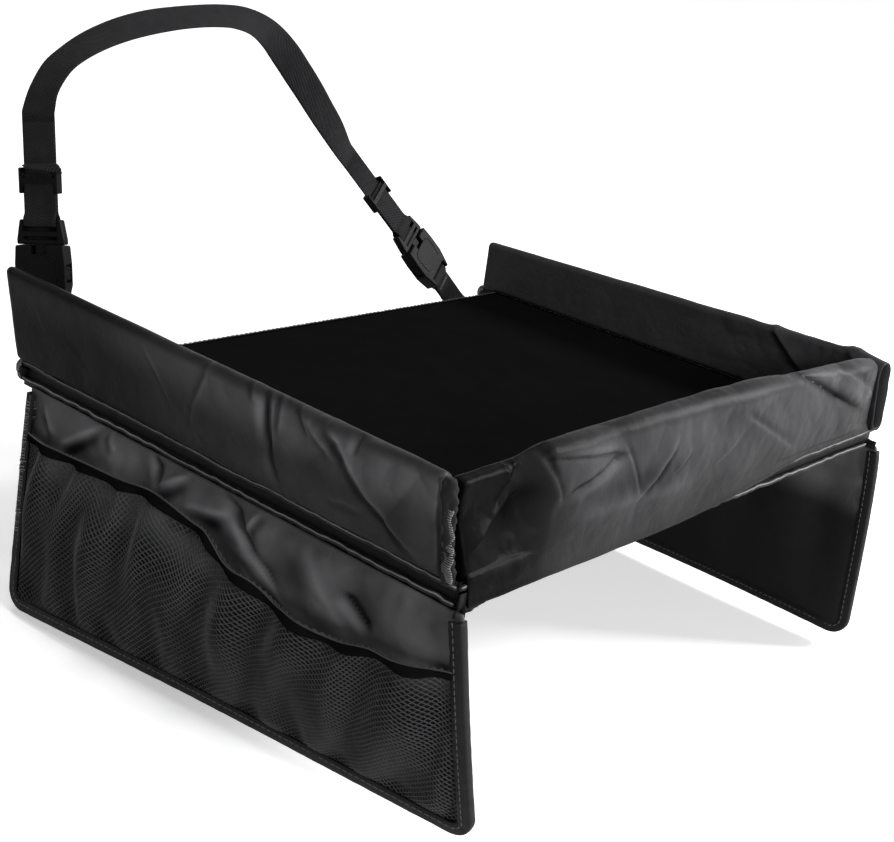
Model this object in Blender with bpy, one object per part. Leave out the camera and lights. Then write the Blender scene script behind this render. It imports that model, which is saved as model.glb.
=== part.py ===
"""Car seat tray table: a soft-walled tray with two hanging pocket flaps and an adjustable strap.

X runs along the front wall, Y towards the open rear edge, Z up. The origin is the centre of
the tray's underside. All lengths are in metres and all angles in degrees.
"""
import math
from collections import namedtuple

import bmesh
import bpy
from mathutils import Matrix, Vector

# Tray outline and the gap that sewn or stacked pieces keep
TRAY_WIDTH = 0.400
TRAY_DEPTH = 0.320
FLOOR_SETBACK = 0.015
CLEARANCE = 0.0003

# Base stack, from the lap up
LINING_THICKNESS = 0.0008
BOARD_THICKNESS = 0.003
PAD_THICKNESS = 0.003
COVER_THICKNESS = 0.001

# Edge band between two rows of piping
BAND_THICKNESS = 0.001
PIPING_RADIUS = 0.0013
LOWER_PIPING_DROP = 0.0012
LIP_BULGE = 0.0016

# Padded walls
WALL_HEIGHT = 0.060
WALL_THICKNESS = 0.007
FRONT_WALL_THICKNESS = 0.010
SLEEVE_CLOTH = 0.0009
OPEN_END_THICKNESS = 0.014
OPEN_END_LENGTH = 0.045
BOARD_INSET = 0.020
RIGHT_WALL_SETBACK = 0.004
LEFT_WALL_LEAN_SHARE = 0.19
RIGHT_WALL_LEAN_SHARE = -0.02
FRONT_WALL_LEAN_SHARE = 0.10
FRONT_LEFT_HEIGHT_SHARE = 1.0
REAR_LEFT_HEIGHT_SHARE = 1.05
FRONT_RIGHT_HEIGHT_SHARE = 0.885
REAR_RIGHT_HEIGHT_SHARE = 0.735
FRONT_WALL_CROWN = 0.004
CORNER_RADIUS = 0.0038
SKIRT_THICKNESS = 0.001
SKIRT_OVERHANG = 0.001
SKIRT_LENGTH_SHARE = 0.74

# Hanging flaps, pockets and hems
FLAP_DROP = 0.130
FLAP_CLOTH = 0.0012
FLAP_FRONT_OVERHANG = 0.0025
FLAP_REAR_INSET = 0.011
FLAP_CORNER_RADIUS = 0.012
FLAP_BELLY = 0.006
FOLD_DEPTH = 0.004
FOLD_WIDTH_SHARE = 0.045
NET_THICKNESS = 0.001
NET_CORD_SHARE = 0.16
POCKET_DEPTH = 0.0105
POCKET_MOUTH_SHARE = 0.62
ELASTIC_WIDTH = 0.0045
ELASTIC_THICKNESS = 0.0012
HEM_WIDTH = 0.006
HEM_CLOTH = 0.0008
HEM_START = 0.010
SEAM_ALLOWANCE = 0.001
FRONT_TUCK = 0.024
REAR_FLARE = 0.005
LEFT_FRONT_SHIFT = 0.0090
LEFT_REAR_SHIFT = 0.001
RIGHT_FRONT_SHIFT = 0.0105
FRONT_SHIFT_POWER = 0.6
BOTTOM_BOW = 0.005
RIGHT_FLARE = 0.004
LEFT_FRONT_DROP_SHARE = 0.925
LEFT_REAR_DROP_SHARE = 1.02
RIGHT_FRONT_DROP_SHARE = 1.0
RIGHT_REAR_DROP_SHARE = 1.06
FOLD_PLACE_SHARES = (0.10, 0.27, 0.41, 0.58, 0.74, 0.90)
MOUTH_PLACE_SHARES = (0.0, 0.12, 0.22, 0.31, 0.40, 0.50, 0.60, 0.72, 0.86, 1.0)
MOUTH_DROP_SHARES = (0.235, 0.265, 0.310, 0.290, 0.240, 0.155, 0.120, 0.143, 0.166, 0.190)

# Webbing and where the strap stands
WEBBING_WIDTH = 0.020
WEBBING_THICKNESS = 0.0011
STRAP_INSET = 0.020
TAB_INSET = 0.038
STRAP_RISE = 0.190
STRAP_SETOFF = 0.016
STRAP_LEAN_ANGLE = 12.0
SLIDER_TRAVEL_UP = 0.022
SLIDER_TRAVEL_DOWN = 0.008
LEFT_SLIDER_PLACE = 0.069
RIGHT_SLIDER_PLACE = 0.078
FLARE_LENGTH = 0.004
ARCH_LEAD = 0.005
TAB_LEAD = 0.0035
LEFT_BAR_SHARES = (-0.5, 0.1625, 0)
RIGHT_BAR_SHARES = (0.4145, 0.0827, -0.005)
LEFT_TURN_ANGLE = -2.0
RIGHT_TURN_ANGLE = 37.8
LEFT_TILT_ANGLE = 0.0
RIGHT_TILT_ANGLE = 9.8
LEFT_TWIST_ANGLE = -66.0
RIGHT_TWIST_ANGLE = 14.5

# The free arch, from left to right: shares across, up and behind the leaning plane
ARCH_PLACE_SHARES = ((-0.4758, 0.7781, 0), (-0.4497, 0.8408, 0), (-0.4199, 0.8792, 0),
                     (-0.3818, 0.9147, 0), (-0.3396, 0.9433, 0), (-0.2969, 0.9649, 0),
                     (-0.2503, 0.9819, 0), (-0.2036, 0.9932, 0), (-0.1528, 1.0008, 0.0026),
                     (-0.1012, 1.0021, 0.0079), (-0.0484, 0.9890, 0.0158),
                     (-0.0008, 0.9512, 0.0237), (0.0397, 0.8934, 0.0342),
                     (0.0728, 0.8345, 0.0447), (0.1078, 0.7694, 0.0553),
                     (0.1419, 0.7011, 0.0658), (0.1781, 0.6335, 0.0789))
ARCH_TWIST_ANGLES = (73, 70, 67, 61, 56, 52, 50, 50, 48, 42, 26, 2, -18, -22, -19, -12, -4)

# Side-release buckle, measured along it from the socket's webbing bar
SOCKET_LENGTH = 0.034
SOCKET_WIDTH = 0.031
SOCKET_THICKNESS = 0.009
SOCKET_WALL = 0.0016
SOCKET_FLOOR = 0.0095
BAR_LENGTH = 0.0026
BAR_HALF_THICKNESS = 0.0016
SLOT_LENGTH = 0.0038
SLOT_SIDE_CLEARANCE = 0.0006
WINDOW_START = 0.014
WINDOW_LENGTH = 0.010
PLUG_WIDTH = 0.0252
PLUG_FLARE = 0.0020
PLUG_THICKNESS = 0.0052
PLUG_SHOULDER = 0.0028
PLUG_LENGTH = 0.0136
LADDER_SLOT_LENGTH = 0.0020
TONGUE_WIDTH = 0.0064
TONGUE_THICKNESS = 0.0044
LATCH_WIDTH = 0.0024
LATCH_THICKNESS = 0.0048
LATCH_ROOT_PLACE = 0.0095
FIT_GAP = 0.0004

# Tri-glide slider
SLIDER_WIDTH = 0.0238
SLIDER_LENGTH = 0.014
SLIDER_PLATE = 0.0013
SLIDER_BAR_LENGTH = 0.0030
TAIL_LENGTH = 0.012
TAIL_SKEW_SHARE = 0.3

# Mesh fineness
CAP_STEPS = 6
PIPING_SIDES = 8
PANEL_COLUMNS = 22
PANEL_ROWS = 7
NET_COLUMNS = 15
NET_ROWS = 6
STRAP_STEPS = 3
RIBBON_COLUMNS = 4
ARCH_STEPS = 2
BEVEL_SEGMENTS = 2

# Values worked out from the sizes above
HALF_WIDTH = TRAY_WIDTH / 2
HALF_DEPTH = TRAY_DEPTH / 2
STRAP_SPAN = TRAY_WIDTH - 2 * STRAP_INSET
FLOOR_REAR = HALF_DEPTH - FLOOR_SETBACK
BASE_TOP = LINING_THICKNESS + BOARD_THICKNESS + PAD_THICKNESS + COVER_THICKNESS + 3 * CLEARANCE
PIPING_OUT = HALF_WIDTH - PIPING_RADIUS
PIPING_FRONT = HALF_DEPTH - PIPING_RADIUS
BAND_OUT = PIPING_OUT - PIPING_RADIUS - CLEARANCE
BAND_FRONT = PIPING_FRONT - PIPING_RADIUS - CLEARANCE
BAND_BOTTOM = -LOWER_PIPING_DROP / 2
BASE_HALF_WIDTH = BAND_OUT - BAND_THICKNESS - CLEARANCE
BASE_FRONT = BAND_FRONT - BAND_THICKNESS - CLEARANCE
WALL_FOOT = BASE_TOP + CLEARANCE
WEBBING_HALF_STACK = (WEBBING_THICKNESS + CLEARANCE) / 2
SWING_Y = FLOOR_REAR + CLEARANCE
SWING_Z = BASE_TOP / 2

# Finishes: colour and roughness
SATIN_NYLON = ((0.028, 0.028, 0.030), 0.45)
SMOOTH_FLOOR = ((0.012, 0.012, 0.013), 0.60)
BLACK_NET = ((0.014, 0.014, 0.015), 0.70)
BLACK_WEBBING = ((0.020, 0.020, 0.021), 0.75)
BLACK_ACETAL = ((0.010, 0.010, 0.011), 0.32)
GREY_BOARD = ((0.35, 0.35, 0.34), 0.80)
WHITE_FOAM = ((0.75, 0.75, 0.73), 0.90)
BLACK_PIPING = ((0.035, 0.035, 0.037), 0.55)


def clear_scene():
    for thing in list(bpy.data.objects):
        bpy.data.objects.remove(thing, do_unlink=True)


def make_material(name, finish):
    colour, roughness = finish
    material = bpy.data.materials.new(name)
    material.use_nodes = True
    shader = material.node_tree.nodes["Principled BSDF"]
    shader.inputs["Base Color"].default_value = (*colour, 1)
    shader.inputs["Roughness"].default_value = roughness
    shader.inputs["Metallic"].default_value = 0
    return material


def add_empty(name, place, parent=None):
    empty = bpy.data.objects.new(name, None)
    bpy.context.collection.objects.link(empty)
    empty.location = place
    bpy.context.view_layer.update()
    if parent:
        attach(empty, parent)
    return empty


def attach(thing, parent):
    bpy.context.view_layer.update()
    thing.parent = parent
    thing.matrix_parent_inverse = parent.matrix_world.inverted()


def add_piece(name, verts, faces, finish, parent=None):
    """One closed solid, with its faces turned out, hung on its joint's empty."""
    mesh = bpy.data.meshes.new(name)
    mesh.from_pydata([tuple(v) for v in verts], [], faces)
    shape = bmesh.new()
    shape.from_mesh(mesh)
    bmesh.ops.recalc_face_normals(shape, faces=shape.faces)
    shape.to_mesh(mesh)
    shape.free()
    piece = bpy.data.objects.new(name, mesh)
    bpy.context.collection.objects.link(piece)
    mesh.materials.append(make_material(name, finish))
    if parent:
        attach(piece, parent)
    return piece


def prism(outline, low, high):
    """Side walls and two ends over a flat outline of (x, y) points, from low to high in z."""
    count = len(outline)
    verts = [(x, y, z) for z in (low, high) for x, y in outline]
    faces = [list(range(count)), list(range(count, 2 * count))]
    for k in range(count):
        following = (k + 1) % count
        faces.append([k, following, count + following, count + k])
    return verts, faces


def block(low, high):
    return prism([(low[0], low[1]), (high[0], low[1]), (high[0], high[1]), (low[0], high[1])],
                 low[2], high[2])


def loft(loops, closed_ends=True):
    """Skin over loops of equally many points, with flat ends."""
    count = len(loops[0])
    verts = [point for loop in loops for point in loop]
    faces = []
    for row in range(len(loops) - 1):
        for k in range(count):
            following = (k + 1) % count
            first = row * count
            faces.append([first + k, first + following,
                          first + count + following, first + count + k])
    if closed_ends:
        faces.append(list(range(count)))
        faces.append(list(range(len(verts) - count, len(verts))))
    return verts, faces


def open_tube(outer_loops, inner_loops):
    """A sleeve: two skins joined by a ring at each open end."""
    count = len(outer_loops[0])
    verts, faces = loft(outer_loops, closed_ends=False)
    inner_verts, inner_faces = loft(inner_loops, closed_ends=False)
    shift = len(verts)
    faces += [[shift + k for k in face] for face in inner_faces]
    verts = verts + inner_verts
    last = (len(outer_loops) - 1) * count
    for start in (0, last):
        for k in range(count):
            following = (k + 1) % count
            faces.append([start + k, start + following,
                          shift + start + following, shift + start + k])
    return verts, faces


def capsule_loop(low, high, radius, across):
    """Points round a stadium whose two cap centres are low and high."""
    rise = (high - low).normalized()
    points = []
    for centre, sign in ((high, 1), (low, -1)):
        for step in range(CAP_STEPS + 1):
            angle = math.pi * step / CAP_STEPS
            spread = across * (math.cos(angle) * radius * sign)
            points.append(centre + spread + rise * (math.sin(angle) * radius * sign))
    return points


def carve(piece, boxes):
    """Cuts blocks out of a piece and keeps the result as its mesh."""
    cutters = []
    for low, high in boxes:
        verts, faces = block(low, high)
        cutter = add_piece("cutter", verts, faces, GREY_BOARD)
        cutter.hide_render = True
        cutter.display_type = "WIRE"
        cut = piece.modifiers.new("cut", "BOOLEAN")
        cut.operation = "DIFFERENCE"
        cut.solver = "EXACT"
        cut.object = cutter
        cutters.append(cutter)
    bpy.context.view_layer.update()
    shaped = piece.evaluated_get(bpy.context.evaluated_depsgraph_get())
    mesh = bpy.data.meshes.new_from_object(shaped)
    piece.modifiers.clear()
    piece.data = mesh
    for cutter in cutters:
        bpy.data.objects.remove(cutter, do_unlink=True)


def round_edges(piece, width):
    """Bevels every edge of a fresh block."""
    shape = bmesh.new()
    shape.from_mesh(piece.data)
    bmesh.ops.bevel(shape, geom=list(shape.edges), offset=width, segments=BEVEL_SEGMENTS,
                    affect="EDGES", profile=0.5, clamp_overlap=True)
    shape.to_mesh(piece.data)
    shape.free()


# The base: lining, board, pad and cover, stacked and closed by the rear binding

def build_base():
    levels = [("underside_lining", LINING_THICKNESS, SATIN_NYLON),
              ("base_board", BOARD_THICKNESS, GREY_BOARD),
              ("base_pad", PAD_THICKNESS, WHITE_FOAM),
              ("floor_cover", COVER_THICKNESS, SMOOTH_FLOOR)]
    bottom = 0
    for name, thickness, finish in levels:
        verts, faces = block((-BASE_HALF_WIDTH, -BASE_FRONT, bottom),
                             (BASE_HALF_WIDTH, FLOOR_REAR, bottom + thickness))
        add_piece(name, verts, faces, finish)
        bottom += thickness + CLEARANCE
    build_rear_binding()


def build_rear_binding():
    radius = BASE_TOP / 2
    outline = []
    for step in range(CAP_STEPS + 1):
        angle = math.pi * (step / CAP_STEPS - 0.5)
        outline.append((math.cos(angle) * radius, math.sin(angle) * radius))
    loops = [[Vector((x, SWING_Y + y, SWING_Z + z)) for y, z in outline]
             for x in (-BASE_HALF_WIDTH, BASE_HALF_WIDTH)]
    verts, faces = loft(loops)
    add_piece("rear_binding", verts, faces, SATIN_NYLON)


# Edge bands with an upper and a lower row of piping

def add_piping(name, start, end):
    direction = (end - start).normalized()
    across = direction.cross(Vector((0, 0, 1)))
    rise = across.cross(direction)
    loops = []
    for centre in (start, end):
        loop = []
        for k in range(PIPING_SIDES):
            angle = 2 * math.pi * k / PIPING_SIDES
            loop.append(centre + (across * math.cos(angle) + rise * math.sin(angle)) * PIPING_RADIUS)
        loops.append(loop)
    verts, faces = loft(loops)
    add_piece(name, verts, faces, BLACK_PIPING)


def build_edges():
    side_front = -PIPING_FRONT + PIPING_RADIUS + CLEARANCE
    rows = [("upper", BASE_TOP - PIPING_RADIUS), ("lower", -LOWER_PIPING_DROP)]
    for label, height in rows:
        for side_name, side in (("left", -1), ("right", 1)):
            add_piping(f"{side_name}_{label}_piping",
                       Vector((side * PIPING_OUT, side_front, height)),
                       Vector((side * PIPING_OUT, HALF_DEPTH, height)))
        reach = PIPING_OUT if label == "upper" else PIPING_OUT - HEM_START
        add_piping(f"front_{label}_piping",
                   Vector((-reach, -PIPING_FRONT, height)),
                   Vector((reach, -PIPING_FRONT, height)))
    for side_name, side in (("left", -1), ("right", 1)):
        inner, outer = sorted((side * (BAND_OUT - BAND_THICKNESS), side * BAND_OUT))
        verts, faces = block((inner, -BAND_FRONT + BAND_THICKNESS + CLEARANCE, BAND_BOTTOM),
                             (outer, HALF_DEPTH + LIP_BULGE, BASE_TOP))
        add_piece(f"{side_name}_edge_band", verts, faces, SATIN_NYLON)
    verts, faces = block((-BAND_OUT, -BAND_FRONT, BAND_BOTTOM),
                         (BAND_OUT, -BAND_FRONT + BAND_THICKNESS, BASE_TOP))
    add_piece("front_edge_band", verts, faces, SATIN_NYLON)


# Padded walls: an open cloth sleeve with a foam board inside

def blend_value(first, last, share):
    return first + (last - first) * share


def side_wall_loop(side, lean, along, radius, top, thickness, end_lean):
    """A stadium across a side wall at the place along, for a skin of the given radius."""
    middle = thickness / 2
    centres = []
    for height in (WALL_FOOT + middle, top - middle):
        setback = end_lean * (height - WALL_FOOT)
        centres.append(Vector((side * (HALF_WIDTH + lean * height - middle), along + setback,
                               height)))
    return capsule_loop(centres[0], centres[1], radius, Vector((side, 0, 0)))


def build_side_wall(side_name, side, lean, front_share, rear_share, open_front):
    front = -HALF_DEPTH
    rear = HALF_DEPTH - RIGHT_WALL_SETBACK * open_front
    if not open_front:
        front += FRONT_WALL_THICKNESS + CLEARANCE
    stations = [front, front + OPEN_END_LENGTH / 2, front + OPEN_END_LENGTH, 0, rear]
    outer, inner = [], []
    for along in stations:
        share = (along + HALF_DEPTH) / TRAY_DEPTH
        top = WALL_HEIGHT * blend_value(front_share, rear_share, share)
        flare = max(0, 1 - (along - front) / OPEN_END_LENGTH) if open_front else 0
        thickness = blend_value(WALL_THICKNESS, OPEN_END_THICKNESS, flare ** 2)
        end_lean = 0 if open_front or along > front else FRONT_WALL_LEAN_SHARE
        for skins, radius in ((outer, thickness / 2), (inner, thickness / 2 - SLEEVE_CLOTH)):
            skins.append(side_wall_loop(side, lean, along, radius, top, thickness, end_lean))
    verts, faces = open_tube(outer, inner)
    add_piece(f"{side_name}_wall_sleeve", verts, faces, SATIN_NYLON)
    board_front = front + BOARD_INSET
    loops = []
    for along in (board_front + BOARD_INSET * open_front, rear - SLEEVE_CLOTH):
        share = (along + HALF_DEPTH) / TRAY_DEPTH
        top = WALL_HEIGHT * blend_value(front_share, rear_share, share)
        radius = WALL_THICKNESS / 2 - SLEEVE_CLOTH - CLEARANCE
        loops.append(side_wall_loop(side, lean, along, radius, top, WALL_THICKNESS, 0))
    verts, faces = loft(loops)
    add_piece(f"{side_name}_wall_foam", verts, faces, WHITE_FOAM)


def front_wall_loop(along, radius, end_lean):
    """A stadium across the front wall at the place along; its left end leans with the side."""
    share = (along + HALF_WIDTH) / TRAY_WIDTH
    crown = FRONT_WALL_CROWN * math.sin(math.pi * share)
    top = WALL_HEIGHT * blend_value(FRONT_LEFT_HEIGHT_SHARE, FRONT_RIGHT_HEIGHT_SHARE, share)
    middle = FRONT_WALL_THICKNESS / 2
    centres = []
    for height in (WALL_FOOT + middle, top + crown - middle):
        setback = FRONT_WALL_LEAN_SHARE * (height - WALL_FOOT - middle)
        centres.append(Vector((along - end_lean * height, -HALF_DEPTH + middle + setback, height)))
    return capsule_loop(centres[0], centres[1], radius, Vector((0, 1, 0)))


def build_front_wall():
    left = -HALF_WIDTH + CORNER_RADIUS + CLEARANCE
    right = HALF_WIDTH - OPEN_END_THICKNESS + RIGHT_WALL_LEAN_SHARE * WALL_HEIGHT - CLEARANCE
    spots = [left, -HALF_WIDTH / 2, 0, HALF_WIDTH / 2, right]
    radius = FRONT_WALL_THICKNESS / 2
    outer, inner = [], []
    for along in spots:
        end_lean = LEFT_WALL_LEAN_SHARE if along == left else 0
        outer.append(front_wall_loop(along, radius, end_lean))
        inner.append(front_wall_loop(along, radius - SLEEVE_CLOTH, end_lean))
    verts, faces = open_tube(outer, inner)
    add_piece("front_wall_sleeve", verts, faces, SATIN_NYLON)
    board_radius = radius - SLEEVE_CLOTH - CLEARANCE
    loops = [front_wall_loop(along, board_radius, 0)
             for along in (left + BOARD_INSET, -HALF_WIDTH / 2, 0, HALF_WIDTH / 2,
                           right - BOARD_INSET)]
    verts, faces = loft(loops)
    add_piece("front_wall_foam", verts, faces, WHITE_FOAM)


def build_front_skirt():
    """The loose lower edge of the front wall's cover, tapering away to the right."""
    length = TRAY_WIDTH * SKIRT_LENGTH_SHARE
    start = -HALF_WIDTH + CORNER_RADIUS + CLEARANCE
    face = -HALF_DEPTH - CLEARANCE
    top = WALL_FOOT + FRONT_WALL_THICKNESS / 2
    loops = []
    for along, bottom in ((start, -SKIRT_OVERHANG), (start + length / 2, -SKIRT_OVERHANG),
                          (start + length, WALL_FOOT)):
        loops.append([Vector((along, face - SKIRT_THICKNESS, bottom)), Vector((along, face, bottom)),
                      Vector((along, face, top)), Vector((along, face - SKIRT_THICKNESS, top))])
    verts, faces = loft(loops)
    add_piece("front_skirt", verts, faces, SATIN_NYLON)


def build_corner():
    """The bound upright seam where the left and front walls meet."""
    loops = []
    top = WALL_HEIGHT * FRONT_LEFT_HEIGHT_SHARE
    for height in (WALL_FOOT, top):
        centre = Vector((-HALF_WIDTH - LEFT_WALL_LEAN_SHARE * height,
                         -HALF_DEPTH + FRONT_WALL_THICKNESS - CORNER_RADIUS - CLEARANCE, height))
        loop = []
        for k in range(PIPING_SIDES):
            angle = 2 * math.pi * k / PIPING_SIDES
            loop.append(centre + Vector((math.cos(angle), math.sin(angle), 0)) * CORNER_RADIUS)
        loops.append(loop)
    verts, faces = loft(loops)
    add_piece("left_corner_binding", verts, faces, SATIN_NYLON)


def build_walls():
    build_side_wall("left", -1, LEFT_WALL_LEAN_SHARE, FRONT_LEFT_HEIGHT_SHARE,
                    REAR_LEFT_HEIGHT_SHARE, False)
    build_side_wall("right", 1, RIGHT_WALL_LEAN_SHARE, FRONT_RIGHT_HEIGHT_SHARE,
                    REAR_RIGHT_HEIGHT_SHARE, True)
    build_front_wall()
    build_front_skirt()
    build_corner()


# Hanging flaps. A place on a flap is (s, t): s from front to rear, t from seam to bottom.

FlapShape = namedtuple("FlapShape", "name side front_drop_share rear_drop_share front_tuck "
                       "rear_flare front_shift rear_shift")
LEFT_FLAP = FlapShape("left", -1, LEFT_FRONT_DROP_SHARE, LEFT_REAR_DROP_SHARE, FRONT_TUCK,
                      REAR_FLARE, LEFT_FRONT_SHIFT, LEFT_REAR_SHIFT)
RIGHT_FLAP = FlapShape("right", 1, RIGHT_FRONT_DROP_SHARE, RIGHT_REAR_DROP_SHARE, 0,
                       RIGHT_FLARE, RIGHT_FRONT_SHIFT, 0)


def flap_point(shape, s, t):
    seam_gap = PIPING_RADIUS + 2 * CLEARANCE
    drop = FLAP_DROP * blend_value(shape.front_drop_share, shape.rear_drop_share, s)
    drop -= BOTTOM_BOW * math.sin(math.pi * s)
    down = seam_gap + (drop - seam_gap) * t
    out = -shape.front_tuck * (1 - s) ** 2 * t ** 1.3 + shape.rear_flare * s ** 2 * t
    gather = 6.5 * t * (1 - t) ** 2
    out += FLAP_BELLY * gather * math.sin(math.pi * s)
    for place in FOLD_PLACE_SHARES:
        out += FOLD_DEPTH * gather * math.exp(-(((s - place) / FOLD_WIDTH_SHARE) ** 2))
    front = -HALF_DEPTH - FLAP_FRONT_OVERHANG - shape.front_shift * t ** FRONT_SHIFT_POWER
    rear = HALF_DEPTH - FLAP_REAR_INSET + shape.rear_shift * t
    return Vector((shape.side * (PIPING_OUT + out), blend_value(front, rear, s),
                   -LOWER_PIPING_DROP - down))


def flap_place(shape, s, t, out=0):
    """A point at the given distance outside the flap's middle surface, and the way out."""
    step_share = 0.002
    low, high = max(t - step_share, 0), min(t + step_share, 1)
    down = flap_point(shape, s, high) - flap_point(shape, s, low)
    back = flap_point(shape, s + step_share, t) - flap_point(shape, s - step_share, t)
    normal = down.cross(back).normalized()
    if normal.x * shape.side < 0:
        normal.negate()
    return flap_point(shape, s, t) + normal * out, normal


def flap_length():
    return TRAY_DEPTH + FLAP_FRONT_OVERHANG - FLAP_REAR_INSET


def corner_inset_share(t):
    """How far the flap's ends draw in near its rounded bottom corners."""
    start = 1 - FLAP_CORNER_RADIUS / FLAP_DROP
    if t <= start:
        return 0
    reach = (t - start) / (1 - start)
    return FLAP_CORNER_RADIUS / flap_length() * (1 - math.sqrt(max(0, 1 - reach ** 2)))


def row_shares(first, rows):
    """Even rows down to the rounded corners, then rows that follow the round."""
    start = 1 - FLAP_CORNER_RADIUS / FLAP_DROP
    even = [blend_value(first, start, k / rows) for k in range(rows + 1)]
    return even + [start + (1 - start) * math.sin(math.radians(a)) for a in (35, 65, 90)]


def across_shares(t, columns):
    inset = corner_inset_share(t)
    return [blend_value(inset, 1 - inset, k / columns) for k in range(columns + 1)]


def two_sided(rows_of_points):
    """A solid from two equal grids of points, the outer and the inner face."""
    outer, inner = rows_of_points
    height, width = len(outer), len(outer[0])
    verts = [p for grid in (outer, inner) for row in grid for p in row]
    shift = height * width
    faces = []
    for row in range(height - 1):
        for k in range(width - 1):
            corner = row * width + k
            quad = [corner, corner + 1, corner + width + 1, corner + width]
            faces.append(quad)
            faces.append([shift + v for v in reversed(quad)])
    rim = rim_of(width, height)
    for k, vertex in enumerate(rim):
        following = rim[(k + 1) % len(rim)]
        faces.append([vertex, following, shift + following, shift + vertex])
    return verts, faces


def build_panel(shape, hinge):
    rows = row_shares(0, PANEL_ROWS)
    grids = [[[flap_place(shape, s, t, out)[0] for s in across_shares(t, PANEL_COLUMNS)]
              for t in rows]
             for out in (FLAP_CLOTH / 2, -FLAP_CLOTH / 2)]
    verts, faces = two_sided(grids)
    add_piece(f"{shape.name}_flap_panel", verts, faces, SATIN_NYLON, hinge)


def mouth_share(s):
    """How far down the flap the pocket's mouth lies, read smoothly from its table."""
    s = min(max(s, 0), 1)
    for k in range(len(MOUTH_PLACE_SHARES) - 1):
        low, high = MOUTH_PLACE_SHARES[k], MOUTH_PLACE_SHARES[k + 1]
        if s <= high:
            ease = (s - low) / (high - low)
            ease = ease * ease * (3 - 2 * ease)
            return blend_value(MOUTH_DROP_SHARES[k], MOUTH_DROP_SHARES[k + 1], ease)
    return MOUTH_DROP_SHARES[-1]


def net_corner(shape, column, row, out):
    """A grid place on the net; its outermost columns and last row lie flat under the hem."""
    border = HEM_WIDTH + SEAM_ALLOWANCE
    side_border = border / flap_length()
    low_border = border / FLAP_DROP
    across = (column - 1) / (NET_COLUMNS - 2)
    depth = row / (NET_ROWS - 1)
    inside = 0 <= across <= 1 and depth <= 1
    if column < 1:
        s = side_border * column
    elif column > NET_COLUMNS - 1:
        s = 1 - side_border * (NET_COLUMNS - column)
    else:
        s = blend_value(side_border, 1 - side_border, across)
    if row > NET_ROWS - 1:
        t = blend_value(1 - low_border, 1, row - NET_ROWS + 1)
    else:
        t = blend_value(mouth_share(s), 1 - low_border, depth)
    swell = 0
    if inside:
        mouth = blend_value(POCKET_MOUTH_SHARE, 1, math.sin(math.pi * min(depth, 0.5)))
        swell = (1 - abs(2 * across - 1) ** 6) * (1 - depth ** 3) * mouth
    inset = corner_inset_share(t)
    s = blend_value(inset, 1 - inset, s)
    stand = FLAP_CLOTH / 2 + 2 * CLEARANCE + POCKET_DEPTH * swell
    return flap_place(shape, s, t, stand + out)[0]


def rim_of(width, height):
    """The places round a grid's edge, in order."""
    rim = [k for k in range(width)]
    rim += [row * width + width - 1 for row in range(1, height)]
    rim += [(height - 1) * width + k for k in range(width - 2, -1, -1)]
    rim += [row * width for row in range(height - 2, 0, -1)]
    return rim


def net_cell(corners, gap, layer_shift, sides):
    """Triangles round a diamond gap, on both faces, and the gap's own walls."""
    faces = []
    for side in range(sides):
        following = (side + 1) % sides
        for grid_shift, gap_shift in ((0, 0), (layer_shift, sides)):
            first = corners[side] + grid_shift
            second = corners[following] + grid_shift
            faces.append([first, second, gap + gap_shift + side])
            faces.append([second, gap + gap_shift + following, gap + gap_shift + side])
        faces.append([gap + side, gap + following, gap + sides + following, gap + sides + side])
    return faces


def build_net(shape, hinge):
    """The mesh pocket: a grid of cells with diamond gaps, plain where the hem covers it."""
    verts, faces = [], []
    width, height = NET_COLUMNS + 1, NET_ROWS + 1
    grid = width * height
    for out in (NET_THICKNESS, 0):
        for row in range(height):
            verts += [net_corner(shape, k, row, out) for k in range(width)]
    low, high = NET_CORD_SHARE, 1 - NET_CORD_SHARE
    for row in range(NET_ROWS):
        for k in range(NET_COLUMNS):
            corners = [row * width + k, row * width + k + 1,
                       (row + 1) * width + k + 1, (row + 1) * width + k]
            if k in (0, NET_COLUMNS - 1) or row == NET_ROWS - 1:
                faces.append(corners)
                faces.append([grid + v for v in reversed(corners)])
                continue
            first = len(verts)
            for layer in (0, grid):
                cell = [verts[layer + v] for v in corners]
                for across, down in ((0.5, low), (high, 0.5), (0.5, high), (low, 0.5)):
                    verts.append(cell[0].lerp(cell[1], across).lerp(
                        cell[3].lerp(cell[2], across), down))
            faces += net_cell(corners, first, grid, len(corners))
    rim = rim_of(width, height)
    for k, vertex in enumerate(rim):
        following = rim[(k + 1) % len(rim)]
        faces.append([vertex, following, grid + following, grid + vertex])
    add_piece(f"{shape.name}_pocket_net", verts, faces, BLACK_NET, hinge)


def build_elastic(shape, hinge):
    """The elastic tape along the pocket's mouth, outside the net."""
    lift = NET_THICKNESS + 2 * CLEARANCE
    grids = []
    for out in (lift + ELASTIC_THICKNESS, lift):
        top_row, low_row = [], []
        for k in range(1, NET_COLUMNS):
            top = net_corner(shape, k, 0, out)
            below = net_corner(shape, k, 1, out)
            top_row.append(top)
            low_row.append(top + (below - top).normalized() * ELASTIC_WIDTH)
        grids.append([top_row, low_row])
    verts, faces = two_sided(grids)
    add_piece(f"{shape.name}_pocket_elastic", verts, faces, BLACK_WEBBING, hinge)


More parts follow.
